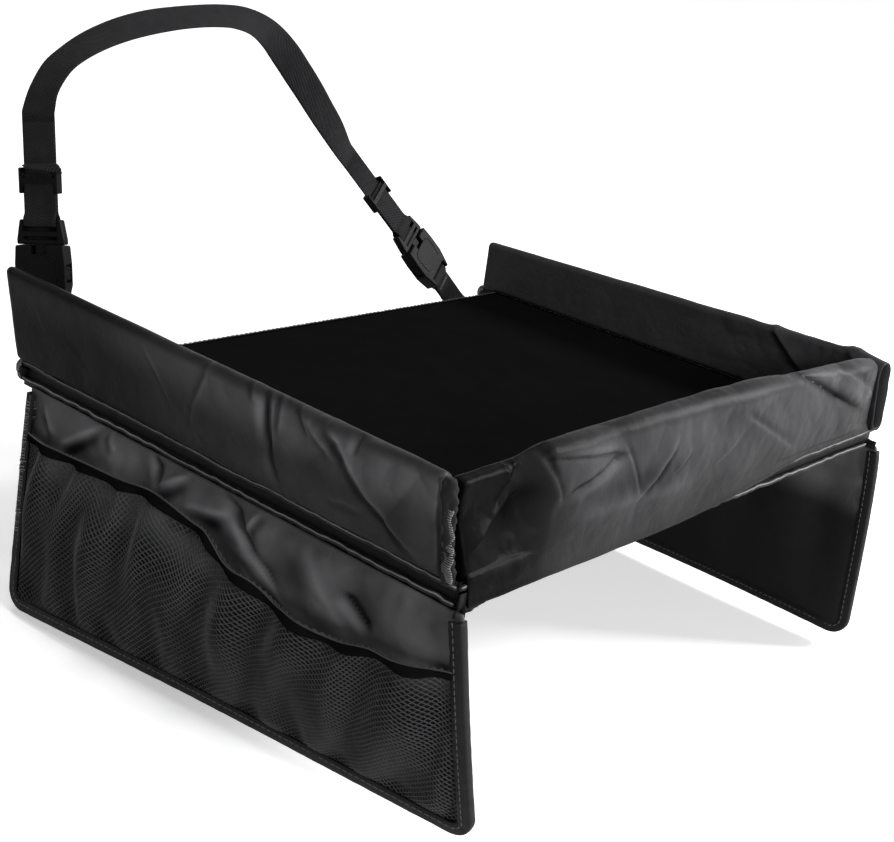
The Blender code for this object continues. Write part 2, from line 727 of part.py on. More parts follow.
def hem_route(shape):
    """Places along the front edge, round the bottom and up the rear edge."""
    start = 1 - FLAP_CORNER_RADIUS / FLAP_DROP
    first = HEM_START / FLAP_DROP
    down = [(0, blend_value(first, start, k / 6)) for k in range(7)]
    rounds = []
    for angle in (22.5, 45, 67.5, 90):
        t = start + (1 - start) * math.sin(math.radians(angle))
        rounds.append((corner_inset_share(t), t))
    inset = corner_inset_share(1)
    bottom = [(blend_value(inset, 1 - inset, k / 10), 1) for k in range(1, 10)]
    back = [(1 - s, t) for s, t in reversed(rounds)]
    up = [(1, t) for s, t in reversed(down)]
    return down + rounds + bottom + back + up


def build_hem(shape, hinge):
    """Cloth tape folded over the outer edges of the panel and the net."""
    inner_low = -FLAP_CLOTH / 2 - CLEARANCE
    inner_high = FLAP_CLOTH / 2 + NET_THICKNESS + 3 * CLEARANCE
    low, high = inner_low - HEM_CLOTH, inner_high + HEM_CLOTH
    edge, back = -CLEARANCE, -CLEARANCE - HEM_CLOTH
    section = [(back, low), (HEM_WIDTH, low), (HEM_WIDTH, inner_low), (edge, inner_low),
               (edge, inner_high), (HEM_WIDTH, inner_high), (HEM_WIDTH, high), (back, high)]
    route = hem_route(shape)
    middle = flap_point(shape, 0.5, 0.5)
    loops = []
    for k, (s, t) in enumerate(route):
        before, after = route[max(k - 1, 0)], route[min(k + 1, len(route) - 1)]
        run = (flap_point(shape, *after) - flap_point(shape, *before)).normalized()
        place, normal = flap_place(shape, s, t)
        inward = run.cross(normal).normalized()
        if inward.dot(middle - place) < 0:
            inward.negate()
        loops.append([place + inward * into + normal * out for into, out in section])
    verts, faces = loft(loops)
    add_piece(f"{shape.name}_flap_hem", verts, faces, SATIN_NYLON, hinge)


def build_flap(shape):
    hinge = add_empty(f"{shape.name}_flap_axis",
                      (shape.side * PIPING_OUT, 0, -LOWER_PIPING_DROP))
    build_panel(shape, hinge)
    build_net(shape, hinge)
    build_elastic(shape, hinge)
    build_hem(shape, hinge)


# The strap stands on a plane that leans back; places on it are (x, v), with v up the plane

LEAN = math.radians(STRAP_LEAN_ANGLE)
PLANE_UP = Vector((0, math.sin(LEAN), math.cos(LEAN)))
PLANE_BACK = Vector((0, math.cos(LEAN), -math.sin(LEAN)))
PLANE_FOOT = Vector((0, SWING_Y + STRAP_SETOFF, SWING_Z))


def plane_point(x_share, rise_share, back_share):
    return (PLANE_FOOT + Vector((x_share * STRAP_SPAN, 0, 0)) + PLANE_UP * (rise_share * STRAP_RISE)
            + PLANE_BACK * (back_share * STRAP_RISE))


def buckle_frame(shares, turn, tilt, twist):
    """Local x across the webbing, y along the buckle, z out of its front face."""
    turn, tilt = math.radians(turn), math.radians(tilt)
    level = Vector((1, 0, 0))
    along = PLANE_UP * math.cos(turn) - level * math.sin(turn)
    along = along * math.cos(tilt) + PLANE_BACK * math.sin(tilt)
    across = level * math.cos(turn) + PLANE_UP * math.sin(turn)
    across = Matrix.Rotation(math.radians(twist), 3, along) @ across
    front = across.cross(along)
    frame = Matrix((across, along, front)).transposed().to_4x4()
    frame.translation = plane_point(*shares)
    return frame


def placed(verts, frame):
    return [frame @ Vector(v) for v in verts]


def ribbon(points, widths, width, thickness):
    """A flat strap along points; widths gives the unit way across it at each point."""
    loops = []
    last = len(points) - 1
    for k, point in enumerate(points):
        before = (point - points[k - 1]).normalized() if k else None
        after = (points[k + 1] - point).normalized() if k < last else None
        run = ((before or after) + (after or before)).normalized()
        mitre = 1 / max((after or before).dot(run), 0.5)
        up = run.cross(widths[k]).normalized() * (thickness / 2 * mitre)
        line = [point + widths[k] * (width * (column / RIBBON_COLUMNS - 0.5))
                for column in range(RIBBON_COLUMNS + 1)]
        loops.append([spot - up for spot in line] + [spot + up for spot in reversed(line)])
    return loft(loops)


def folded_webbing(centres, frames_across, normals, spreads, short_leg):
    """One strap folded back on itself round a bar at the end of its centres."""
    long_leg = [c - n * s for c, n, s in zip(centres, normals, spreads)]
    back_leg = [c + n * s for c, n, s in zip(centres, normals, spreads)]
    points = long_leg + back_leg[::-1][:short_leg]
    widths = frames_across + frames_across[::-1][:short_leg]
    return ribbon(points, widths, WEBBING_WIDTH, WEBBING_THICKNESS)


# The turn round a bar, as (distance past the bar's near face, half the spread)

BAR_SPREAD = BAR_HALF_THICKNESS + CLEARANCE + WEBBING_THICKNESS / 2
TURN_RADIUS = WEBBING_THICKNESS / 2
TURN_PAST = BAR_LENGTH + CLEARANCE + WEBBING_THICKNESS / 2
BAR_TURN = ((-FLARE_LENGTH, WEBBING_HALF_STACK), (-CLEARANCE, BAR_SPREAD),
            (TURN_PAST - TURN_RADIUS, BAR_SPREAD), (TURN_PAST, BAR_SPREAD - TURN_RADIUS))


def build_tab(side_name, side, frame, swing):
    """Webbing sewn at the rear seam, rising to fold round the socket's bar."""
    foot = Vector((side * (HALF_WIDTH - TAB_INSET), SWING_Y + BASE_TOP / 2 + TAB_LEAD, SWING_Z))
    bar_across, along, front = (frame.to_3x3().col[k].copy() for k in range(3))
    neck = frame.translation - along * FLARE_LENGTH * 2
    reach = (neck - foot).length * 0.4
    knots = (foot, foot + Vector((0, reach, 0)), neck - along * reach, neck)
    foot_across = Vector((1, 0, 0))
    centres, acrosses = [foot - Vector((0, TAB_LEAD - CLEARANCE, 0))], [foot_across]
    normals, spreads = [Vector((0, 0, 1))], [WEBBING_HALF_STACK]
    steps = 3 * STRAP_STEPS
    for k in range(steps + 1):
        share = k / steps
        rest = 1 - share
        point = (knots[0] * rest ** 3 + knots[1] * (3 * rest ** 2 * share)
                 + knots[2] * (3 * rest * share ** 2) + knots[3] * share ** 3)
        run = ((knots[1] - knots[0]) * rest ** 2 + (knots[2] - knots[1]) * (2 * rest * share)
               + (knots[3] - knots[2]) * share ** 2).normalized()
        ease = share * share * (3 - 2 * share)
        across = foot_across.lerp(bar_across, ease).normalized()
        centres.append(point)
        acrosses.append(across)
        normals.append(across.cross(run).normalized())
        spreads.append(WEBBING_HALF_STACK)
    for past, spread in BAR_TURN:
        centres.append(frame.translation + along * past)
        acrosses.append(bar_across)
        normals.append(front)
        spreads.append(spread)
    verts, faces = folded_webbing(centres, acrosses, normals, spreads, len(centres))
    add_piece(f"{side_name}_strap_tab", verts, faces, BLACK_WEBBING, swing)


def build_socket(side_name, frame, swing):
    """The female half: a flat box with a mouth, two side windows and a webbing bar."""
    half = SOCKET_WIDTH / 2
    neck = WEBBING_WIDTH / 2 + SLOT_SIDE_CLEARANCE + SOCKET_WALL
    shoulder = WINDOW_START - SOCKET_WALL
    outline = [(-neck, 0), (neck, 0), (half - SOCKET_WALL, shoulder / 2), (half, shoulder),
               (half, WINDOW_START + WINDOW_LENGTH), (half - SOCKET_WALL / 2, SOCKET_LENGTH),
               (SOCKET_WALL / 2 - half, SOCKET_LENGTH), (-half, WINDOW_START + WINDOW_LENGTH),
               (-half, shoulder), (SOCKET_WALL - half, shoulder / 2)]
    verts, faces = prism(outline, -SOCKET_THICKNESS / 2, SOCKET_THICKNESS / 2)
    piece = add_piece(f"{side_name}_buckle_socket", verts, faces, BLACK_ACETAL)
    round_edges(piece, SOCKET_WALL / 2)
    slot = WEBBING_WIDTH / 2 + SLOT_SIDE_CLEARANCE
    cavity = half - 2 * SOCKET_WALL
    roof = SOCKET_THICKNESS / 2 - SOCKET_WALL
    over = SOCKET_THICKNESS
    slot_end = BAR_LENGTH + SLOT_LENGTH
    notch = TONGUE_WIDTH / 2 + SOCKET_WALL
    boxes = [((-slot, BAR_LENGTH, -over), (slot, slot_end, over)),
             ((-slot, -over, BAR_HALF_THICKNESS), (slot, slot_end, over)),
             ((-slot, -over, -over), (slot, slot_end, -BAR_HALF_THICKNESS)),
             ((-cavity, SOCKET_FLOOR, -roof), (cavity, SOCKET_LENGTH + over, roof)),
             ((-notch, SOCKET_LENGTH - SOCKET_WALL * 3, 0), (notch, SOCKET_LENGTH + over, over))]
    for side in (-1, 1):
        low, high = sorted((side * (cavity - SOCKET_WALL), side * (half + over)))
        boxes.append(((low, WINDOW_START, -roof),
                      (high, WINDOW_START + WINDOW_LENGTH, roof)))
    carve(piece, boxes)
    piece.data.transform(frame)
    attach(piece, swing)


def build_plug(side_name, frame, slide):
    """The male half: a webbing frame with two bars, a shoulder and a guide tongue."""
    start = SOCKET_LENGTH + FIT_GAP
    end = start + PLUG_LENGTH
    half = PLUG_WIDTH / 2
    thick = PLUG_THICKNESS / 2
    shoulder = half + PLUG_FLARE
    outline = [(-shoulder, start), (shoulder, start), (shoulder, start + PLUG_SHOULDER),
               (half, end), (-half, end), (-shoulder, start + PLUG_SHOULDER)]
    verts, faces = prism(outline, -thick, thick)
    piece = add_piece(f"{side_name}_buckle_plug", verts, faces, BLACK_ACETAL)
    round_edges(piece, SOCKET_WALL / 2)
    slot = WEBBING_WIDTH / 2 + SLOT_SIDE_CLEARANCE
    over = SOCKET_THICKNESS
    outer_bar = end - BAR_LENGTH
    inner_slot_end = outer_bar - SLOT_LENGTH - BAR_LENGTH
    boxes = [((-slot, outer_bar - SLOT_LENGTH, -over), (slot, outer_bar, over)),
             ((-slot, inner_slot_end - LADDER_SLOT_LENGTH, -over), (slot, inner_slot_end, over)),
             ((-slot, outer_bar - SLOT_LENGTH, BAR_HALF_THICKNESS), (slot, end + over, over)),
             ((-slot, outer_bar - SLOT_LENGTH, -over), (slot, end + over, -BAR_HALF_THICKNESS))]
    carve(piece, boxes)
    tongue_half, tongue_thick = TONGUE_WIDTH / 2, TONGUE_THICKNESS / 2
    verts, faces = block((-tongue_half, WINDOW_START, -tongue_thick),
                         (tongue_half, start + PLUG_SHOULDER / 2, tongue_thick))
    tongue = add_piece("tongue", verts, faces, BLACK_ACETAL)
    join = piece.modifiers.new("join", "BOOLEAN")
    join.operation = "UNION"
    join.solver = "EXACT"
    join.object = tongue
    bpy.context.view_layer.update()
    shaped = piece.evaluated_get(bpy.context.evaluated_depsgraph_get())
    mesh = bpy.data.meshes.new_from_object(shaped)
    piece.modifiers.clear()
    piece.data = mesh
    bpy.data.objects.remove(tongue, do_unlink=True)
    piece.data.transform(frame)
    attach(piece, slide)


def build_latch(side_name, place_name, side, frame, slide):
    """A springy arm whose pad sits in the socket's window; it flexes about its root."""
    root_far = SOCKET_LENGTH - FIT_GAP
    root = LATCH_ROOT_PLACE
    cavity = SOCKET_WIDTH / 2 - 2 * SOCKET_WALL - FIT_GAP
    pad = SOCKET_WIDTH / 2 - FIT_GAP
    pad_start = WINDOW_START + FIT_GAP
    pad_end = WINDOW_START + WINDOW_LENGTH - FIT_GAP
    tip = WINDOW_START - SOCKET_WALL
    half = LATCH_WIDTH / 2
    outline = [(root - half, root_far), (root + half, root_far), (cavity, pad_end + FIT_GAP),
               (cavity, pad_end), (pad - half, pad_end), (pad, pad_end - half),
               (pad, pad_start + half), (pad - half, pad_start), (cavity, pad_start),
               (cavity - half, tip), (cavity - LATCH_WIDTH, tip),
               (cavity - half, pad_start + half), (cavity - half, pad_end - half)]
    verts, faces = prism([(side * x, y) for x, y in outline],
                         -LATCH_THICKNESS / 2, LATCH_THICKNESS / 2)
    pivot = add_empty(f"{side_name}_latch_{place_name}_axis",
                      frame @ Vector((side * root, root_far, 0)), slide)
    add_piece(f"{side_name}_buckle_latch_{place_name}", placed(verts, frame), faces,
              BLACK_ACETAL, pivot)


def strap_end_length(slider_place):
    return slider_place + SLIDER_LENGTH / 2 + SLIDER_TRAVEL_UP + WEBBING_THICKNESS * 2


def build_strap_end(side_name, frame, slider_place, slide):
    """Webbing from above the slider, down round the plug's bar and back up to the slider."""
    bar_far = SOCKET_LENGTH + FIT_GAP + PLUG_LENGTH
    across, along, front = (frame.to_3x3().col[k].copy() for k in range(3))
    heights = [(strap_end_length(slider_place), WEBBING_HALF_STACK),
               (slider_place + SLIDER_LENGTH / 4, WEBBING_HALF_STACK)]
    heights += [(bar_far - past, spread) for past, spread in BAR_TURN]
    centres = [frame.translation + along * height for height, spread in heights]
    count = len(centres)
    verts, faces = folded_webbing(centres, [across] * count, [front] * count,
                                  [spread for height, spread in heights], count - 1)
    add_piece(f"{side_name}_strap_end", verts, faces, BLACK_WEBBING, slide)


def build_slider(side_name, frame, slider_place, slide):
    """A tri-glide: two side rails, two rear end bars and one front middle bar."""
    half = SLIDER_WIDTH / 2
    length = SLIDER_LENGTH / 2
    slot_thick = 2 * WEBBING_HALF_STACK + WEBBING_THICKNESS + CLEARANCE * 2
    thick = slot_thick / 2 + SLIDER_PLATE
    verts, faces = block((-half, slider_place - length, -thick),
                         (half, slider_place + length, thick))
    piece = add_piece(f"{side_name}_slider", verts, faces, BLACK_ACETAL)
    round_edges(piece, SLIDER_PLATE / 2)
    slot = WEBBING_WIDTH / 2 + SLOT_SIDE_CLEARANCE
    over = SLIDER_WIDTH
    bar = SLIDER_BAR_LENGTH / 2
    end_bar = length - SLIDER_BAR_LENGTH
    boxes = [((-slot, slider_place - over, -slot_thick / 2),
              (slot, slider_place + over, slot_thick / 2)),
             ((-slot, slider_place + bar, 0), (slot, slider_place + over, over)),
             ((-slot, slider_place - over, 0), (slot, slider_place - bar, over)),
             ((-slot, slider_place - end_bar, -over), (slot, slider_place + end_bar, 0))]
    carve(piece, boxes)
    piece.data.transform(frame)
    travel = add_empty(f"{side_name}_slider_axis", frame @ Vector((0, slider_place, 0)), slide)
    attach(piece, travel)
    return travel


def build_tail(frame, slider_place, travel):
    """The strap's cut end, standing out in front of the left slider, long on one side."""
    root = slider_place + SLIDER_LENGTH / 2 + CLEARANCE
    route = ((0, 0.06), (0.10, 0.30), (0.06, 0.62), (-0.10, 0.86), (-0.30, 1.0))
    first_out = WEBBING_HALF_STACK + WEBBING_THICKNESS + CLEARANCE
    half = WEBBING_WIDTH / 2
    grids = []
    for out in (WEBBING_THICKNESS / 2, -WEBBING_THICKNESS / 2):
        rows = []
        for k, (up_share, out_share) in enumerate(route):
            before, after = route[max(k - 1, 0)], route[min(k + 1, len(route) - 1)]
            run = Vector((0, after[0] - before[0], after[1] - before[1])).normalized()
            normal = Vector((0, run.z, -run.y))
            row = []
            for across_share in (0, 0.5, 1):
                reach = TAIL_LENGTH * blend_value(0.45, 1, across_share)
                skew = reach * out_share * TAIL_SKEW_SHARE
                spot = Vector((blend_value(-half, half, across_share) + skew,
                               root + WEBBING_THICKNESS / 2 + reach * up_share,
                               first_out + reach * out_share))
                row.append(frame @ (spot + normal * out))
            rows.append(row)
        grids.append(rows)
    verts, faces = two_sided(grids)
    add_piece("left_strap_tail", verts, faces, BLACK_WEBBING, travel)


def smooth_route(points, steps):
    """A smooth curve through every point, with the given steps between each two."""
    padded = [points[0] * 2 - points[1], *points, points[-1] * 2 - points[-2]]
    route = []
    for k in range(1, len(padded) - 2):
        before, start, end, after = padded[k - 1:k + 3]
        for step in range(steps):
            u = step / steps
            route.append((start * 2 + (end - before) * u
                          + (before * 2 - start * 5 + end * 4 - after) * u ** 2
                          + (start * 3 - before - end * 3 + after) * u ** 3) / 2)
    route.append(points[-1])
    return route


def build_arch(left_frame, right_frame, swing):
    """The free webbing between the two strap ends, leaning and twisting as it hangs."""
    ends = []
    for frame, place in ((left_frame, LEFT_SLIDER_PLACE), (right_frame, RIGHT_SLIDER_PLACE)):
        along, front = frame.to_3x3().col[1].copy(), frame.to_3x3().col[2].copy()
        top = strap_end_length(place) + CLEARANCE
        start = frame.translation + along * top - front * WEBBING_HALF_STACK
        ends.append((start, start + along * ARCH_LEAD))
    points = [ends[0][1], *(plane_point(*shares) for shares in ARCH_PLACE_SHARES), ends[1][1]]
    angles = (-LEFT_TWIST_ANGLE, *ARCH_TWIST_ANGLES, RIGHT_TWIST_ANGLE)
    twists = [Vector((angle, 0, 0)) for angle in angles]
    route = [ends[0][0], *smooth_route(points, ARCH_STEPS), ends[1][0]]
    angles = smooth_route(twists, ARCH_STEPS)
    angles = [angles[0], *angles, angles[-1]]
    widths = []
    for k in range(len(route)):
        run = (route[min(k + 1, len(route) - 1)] - route[max(k - 1, 0)]).normalized()
        outward = run.cross(PLANE_BACK).normalized()
        turn = math.radians(angles[k].x)
        across = outward * math.cos(turn) + PLANE_BACK * math.sin(turn)
        widths.append((across - run * across.dot(run)).normalized())
    verts, faces = ribbon(route, widths, WEBBING_WIDTH, WEBBING_THICKNESS)
    add_piece("strap_arch", verts, faces, BLACK_WEBBING, swing)


def build_strap():
    swing = add_empty("strap_axis", (0, SWING_Y, SWING_Z))
    left_frame = buckle_frame(LEFT_BAR_SHARES, LEFT_TURN_ANGLE, LEFT_TILT_ANGLE, LEFT_TWIST_ANGLE)
    right_frame = buckle_frame(RIGHT_BAR_SHARES, RIGHT_TURN_ANGLE, RIGHT_TILT_ANGLE, RIGHT_TWIST_ANGLE)
    sides = (("left", -1, left_frame, LEFT_SLIDER_PLACE),
             ("right", 1, right_frame, RIGHT_SLIDER_PLACE))
    for side_name, side, frame, slider_place in sides:
        slide = add_empty(f"{side_name}_release_axis", frame.translation, swing)
        build_tab(side_name, side, frame, swing)
        build_socket(side_name, frame, swing)
        build_plug(side_name, frame, slide)
        for place_name, latch_side in (("a", -1), ("b", 1)):
            build_latch(side_name, place_name, latch_side, frame, slide)
        build_strap_end(side_name, frame, slider_place, slide)
        travel = build_slider(side_name, frame, slider_place, slide)
        if side_name == "left":
            build_tail(frame, slider_place, travel)
    build_arch(left_frame, right_frame, swing)


clear_scene()
build_base()
build_edges()
build_walls()
build_flap(LEFT_FLAP)
build_flap(RIGHT_FLAP)
build_strap()
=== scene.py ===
"""The dressed car seat tray table: black satin nylon over board and foam, with mesh pockets on
two hanging flaps and a webbing strap on side-release buckles.

X runs along the front wall, Y towards the open rear edge, Z up, in metres.
"""
import math
from collections import namedtuple

import bmesh
import bpy
import numpy as np
from mathutils import Matrix, Vector, noise


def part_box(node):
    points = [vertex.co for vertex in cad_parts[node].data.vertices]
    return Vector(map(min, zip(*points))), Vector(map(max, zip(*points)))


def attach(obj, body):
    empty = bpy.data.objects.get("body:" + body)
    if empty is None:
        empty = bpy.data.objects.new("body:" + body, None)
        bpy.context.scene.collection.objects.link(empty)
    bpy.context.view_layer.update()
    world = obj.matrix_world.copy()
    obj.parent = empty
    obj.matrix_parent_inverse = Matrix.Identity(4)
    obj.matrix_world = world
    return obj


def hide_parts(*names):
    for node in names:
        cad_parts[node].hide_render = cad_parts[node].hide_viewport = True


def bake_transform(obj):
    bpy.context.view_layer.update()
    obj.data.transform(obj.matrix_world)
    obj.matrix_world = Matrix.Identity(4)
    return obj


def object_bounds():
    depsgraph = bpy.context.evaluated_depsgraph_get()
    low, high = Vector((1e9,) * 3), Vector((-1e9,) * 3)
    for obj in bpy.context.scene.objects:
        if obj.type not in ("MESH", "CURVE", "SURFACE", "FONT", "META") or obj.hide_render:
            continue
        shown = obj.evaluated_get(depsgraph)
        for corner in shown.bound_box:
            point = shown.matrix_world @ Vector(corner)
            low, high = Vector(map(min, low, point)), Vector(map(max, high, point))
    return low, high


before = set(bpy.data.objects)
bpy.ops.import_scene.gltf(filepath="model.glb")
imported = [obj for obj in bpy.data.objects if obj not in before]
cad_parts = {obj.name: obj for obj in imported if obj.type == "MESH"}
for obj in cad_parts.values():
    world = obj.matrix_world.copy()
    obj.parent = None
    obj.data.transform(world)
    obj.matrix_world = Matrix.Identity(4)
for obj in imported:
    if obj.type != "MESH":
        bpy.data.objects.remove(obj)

cad_low, cad_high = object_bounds()


# The camera stands in front of the left corner, a little above the walls, and is rolled as
# the photograph's was. Its focal length comes from the tray's corners in the photograph.

photo_width_px = 894
focal_px = 1509.926
sensor_mm = 36
camera_place = Vector((-0.6633, -0.5036, 0.2877))
yaw, pitch, roll = (math.radians(angle) for angle in (51.806, 19.626, 8.722))
look = Vector((math.sin(yaw) * math.cos(pitch), math.cos(yaw) * math.cos(pitch), -math.sin(pitch)))
level = Vector((math.cos(yaw), -math.sin(yaw), 0))
upright = level.cross(look)
camera_right = level * math.cos(roll) + upright * math.sin(roll)
camera_up = upright * math.cos(roll) - level * math.sin(roll)

camera = bpy.data.objects.new("camera", bpy.data.cameras.new("camera"))
bpy.context.scene.collection.objects.link(camera)
camera.matrix_world = Matrix.Translation(camera_place) @ Matrix(
    (camera_right, camera_up, -look)).transposed().to_4x4()
camera.data.sensor_fit = "HORIZONTAL"
camera.data.sensor_width = sensor_mm
camera.data.lens = focal_px / photo_width_px * sensor_mm
camera.data.clip_start = 0.01
bpy.context.scene.camera = camera


# A pale studio: a wide white floor just under the flaps, an even pale surround, a large soft
# lamp at the front right, a smaller one low at the front left and one above the tray.

bpy.context.scene.view_settings.view_transform = "Standard"
surround_level = 0.18
floor_drop = 0.0006
floor_reach = 6.0
white = (1, 1, 1, 1)


def add_node(tree, kind, inputs=(), **options):
    """A new node with its options set and each input given a value or linked from a socket."""
    made = tree.nodes.new(kind)
    for key, value in options.items():
        setattr(made, key, value)
    for key, value in inputs:
        if isinstance(value, bpy.types.NodeSocket):
            tree.links.new(value, made.inputs[key])
        else:
            made.inputs[key].default_value = value
    return made


def add_math(tree, operation, *values):
    """The result of a maths node on plain values or sockets."""
    return add_node(tree, "ShaderNodeMath", enumerate(values), operation=operation).outputs[0]


def add_lamp(name, place, aim, size, watts):
    lamp = bpy.data.objects.new(name, bpy.data.lights.new(name, "AREA"))
    lamp.data.size = size
    lamp.data.energy = watts
    lamp.location = place
    lamp.rotation_euler = (Vector(aim) - Vector(place)).to_track_quat("-Z", "Y").to_euler()
    bpy.context.scene.collection.objects.link(lamp)


world = bpy.data.worlds.new("surround")
world.use_nodes = True
bpy.context.scene.world = world
world.node_tree.nodes.clear()
ray = add_node(world.node_tree, "ShaderNodeLightPath").outputs
mirrored = add_math(world.node_tree, "MAXIMUM", ray["Is Glossy Ray"], ray["Is Transmission Ray"])
seen = add_math(world.node_tree, "MAXIMUM", ray["Is Camera Ray"], mirrored)
even, plain = (add_node(world.node_tree, "ShaderNodeBackground",
                        [("Color", white), ("Strength", strength)]).outputs[0]
               for strength in (surround_level, 1.0))
both = add_node(world.node_tree, "ShaderNodeMixShader", [(0, seen), (1, even), (2, plain)])
add_node(world.node_tree, "ShaderNodeOutputWorld", [("Surface", both.outputs[0])])

add_lamp("front_lamp", (1.35, -0.95, 0.85), aim=(0, -0.10, 0), size=0.40, watts=44)
add_lamp("left_lamp", (-0.42, -1.50, 0.60), aim=(-0.1, 0, 0), size=0.30, watts=16)
add_lamp("top_lamp", (-0.45, -0.10, 1.5), aim=(-0.1, 0, 0), size=0.45, watts=8)

floor_level = cad_low.z - floor_drop
floor_mesh = bpy.data.meshes.new("studio_floor")
floor_mesh.from_pydata([(x * floor_reach, y * floor_reach, floor_level)
                        for x, y in ((-1, -1), (1, -1), (1, 1), (-1, 1))], [], [(0, 1, 2, 3)])
studio_floor = bpy.data.objects.new("studio_floor", floor_mesh)
bpy.context.scene.collection.objects.link(studio_floor)
floor_paint = bpy.data.materials.new("pale_floor")
floor_paint.use_nodes = True
floor_tree = floor_paint.node_tree
floor_tree.nodes.clear()
matt = add_node(floor_tree, "ShaderNodeBsdfDiffuse", [("Color", (0.92, 0.92, 0.92, 1))])
floor_place = add_node(floor_tree, "ShaderNodeTexCoord")
reach = add_node(floor_tree, "ShaderNodeVectorMath", [(0, floor_place.outputs["Object"])],
                 operation="LENGTH")
glow_level = add_node(floor_tree, "ShaderNodeMapRange", [("Value", reach.outputs["Value"]),
                      ("From Min", 0.3), ("From Max", 1.6), ("To Min", 0.45), ("To Max", 1.0)])
floor_ray = add_node(floor_tree, "ShaderNodeLightPath")
lift = add_math(floor_tree, "MULTIPLY", floor_ray.outputs["Is Camera Ray"], glow_level.outputs[0])
glow = add_node(floor_tree, "ShaderNodeEmission", [("Color", white), ("Strength", lift)])
both = add_node(floor_tree, "ShaderNodeAddShader", [(0, matt.outputs[0]), (1, glow.outputs[0])])
add_node(floor_tree, "ShaderNodeOutputMaterial", [("Surface", both.outputs[0])])
studio_floor.data.materials.append(floor_paint)


# The base's core: a stiff hollow plastic board and a foam pad, both shut in by the cloth. The
# board is the CAD's own; its finish shows the long flutes such board has.

gap = 0.0003
board_flute = 0.004


def start_finish(name, colour, roughness, specular, shade, cloud_scale):
    """A Principled finish whose colour drifts by the share shade; its coordinates come last."""
    made = bpy.data.materials.new(name)
    made.use_nodes = True
    tree = made.node_tree
    shader = tree.nodes["Principled BSDF"]
    shader.inputs["Base Color"].default_value = (*colour, 1)
    shader.inputs["Roughness"].default_value = roughness
    shader.inputs["Specular IOR Level"].default_value = specular
    place = add_node(tree, "ShaderNodeTexCoord").outputs
    cloud = add_noise(tree, place["Object"], cloud_scale, 5.0, Roughness=0.6)
    shades = add_node(tree, "ShaderNodeMix", [("Factor", cloud)], data_type="RGBA")
    for socket, share in ((6, 1 - shade), (7, 1 + shade)):
        shades.inputs[socket].default_value = (*(channel * share for channel in colour), 1)
    tree.links.new(shades.outputs[2], shader.inputs["Base Color"])
    return made, tree, shader, place


def add_noise(tree, place, scale, detail, **more):
    """A noise texture's height at the given coordinates."""
    inputs = [("Vector", place), ("Scale", scale), ("Detail", detail), *more.items()]
    return add_node(tree, "ShaderNodeTexNoise", inputs).outputs["Fac"]


def add_bump(tree, shader, height, depth):
    """A bump of the given depth in metres, laid over any earlier one."""
    inputs = [("Height", height), ("Distance", depth), ("Strength", 1.0)]
    inputs += [("Normal", link.from_socket) for link in shader.inputs["Normal"].links]
    made = add_node(tree, "ShaderNodeBump", inputs)
    tree.links.new(made.outputs[0], shader.inputs["Normal"])


def grainy_finish(start, depth, kind, **numbers):
    """A finish from start_finish's values under the bump of one texture."""
    made, tree, shader, place = start_finish(*start)
    grain = add_node(tree, f"ShaderNodeTex{kind}", [("Vector", place["Object"]), *numbers.items()])
    add_bump(tree, shader, grain.outputs.get("Fac") or grain.outputs["Distance"], depth)
    return made


def finish_piece(piece, body, material):
    """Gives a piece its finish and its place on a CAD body."""
    piece.data.materials.clear()
    piece.data.materials.append(material)
    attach(piece, body)
    return piece


def new_piece(name, verts, faces, flat=None):
    """A smooth-shaded mesh object; flat holds one (across, along) place in metres per vertex."""
    mesh = bpy.data.meshes.new(name)
    mesh.from_pydata(np.reshape(verts, (-1, 3)).tolist(), [], faces)
    if flat is not None:
        layer = mesh.uv_layers.new(name="cloth_metres")
        corners = np.zeros(len(mesh.loops), np.int32)
        mesh.loops.foreach_get("vertex_index", corners)
        flat = np.reshape(flat, (-1, 2)).astype(np.float32)
        layer.data.foreach_set("uv", flat[corners].ravel())
    shape = bmesh.new()
    shape.from_mesh(mesh)
    bmesh.ops.recalc_face_normals(shape, faces=shape.faces)
    shape.to_mesh(mesh)
    shape.free()
    mesh.polygons.foreach_set("use_smooth", [True] * len(mesh.polygons))
    piece = bpy.data.objects.new(name, mesh)
    bpy.context.scene.collection.objects.link(piece)
    return piece


def skin_faces(rows, columns, closed=False, shift=0):
    """Quads over a grid of points, whose rows may close on themselves."""
    faces = []
    for row in range(rows - 1):
        first = shift + row * columns
        for k in range(columns if closed else columns - 1):
            right = (k + 1) % columns
            faces.append((first + k, first + right, first + columns + right, first + columns + k))
    return faces


def two_faced(name, outer, inner, flat):
    """A closed sheet from two equal grids of points."""
    rows, columns = outer.shape[:2]
    count = rows * columns
    faces = skin_faces(rows, columns)
    faces += [face[::-1] for face in skin_faces(rows, columns, shift=count)]
    grid = np.arange(count).reshape(rows, columns)
    border = np.concatenate([grid[0], grid[1:, -1], grid[-1, -2::-1], grid[-2:0:-1, 0]]).tolist()
    faces += [(here, after, count + after, count + here)
              for here, after in zip(border, border[1:] + border[:1])]
    return new_piece(name, [outer, inner], faces, [flat, flat])


def places_of(x, y, z=0.0):
    """One array of places from three that may be of different shapes."""
    return np.stack(np.broadcast_arrays(x, y, z), -1)


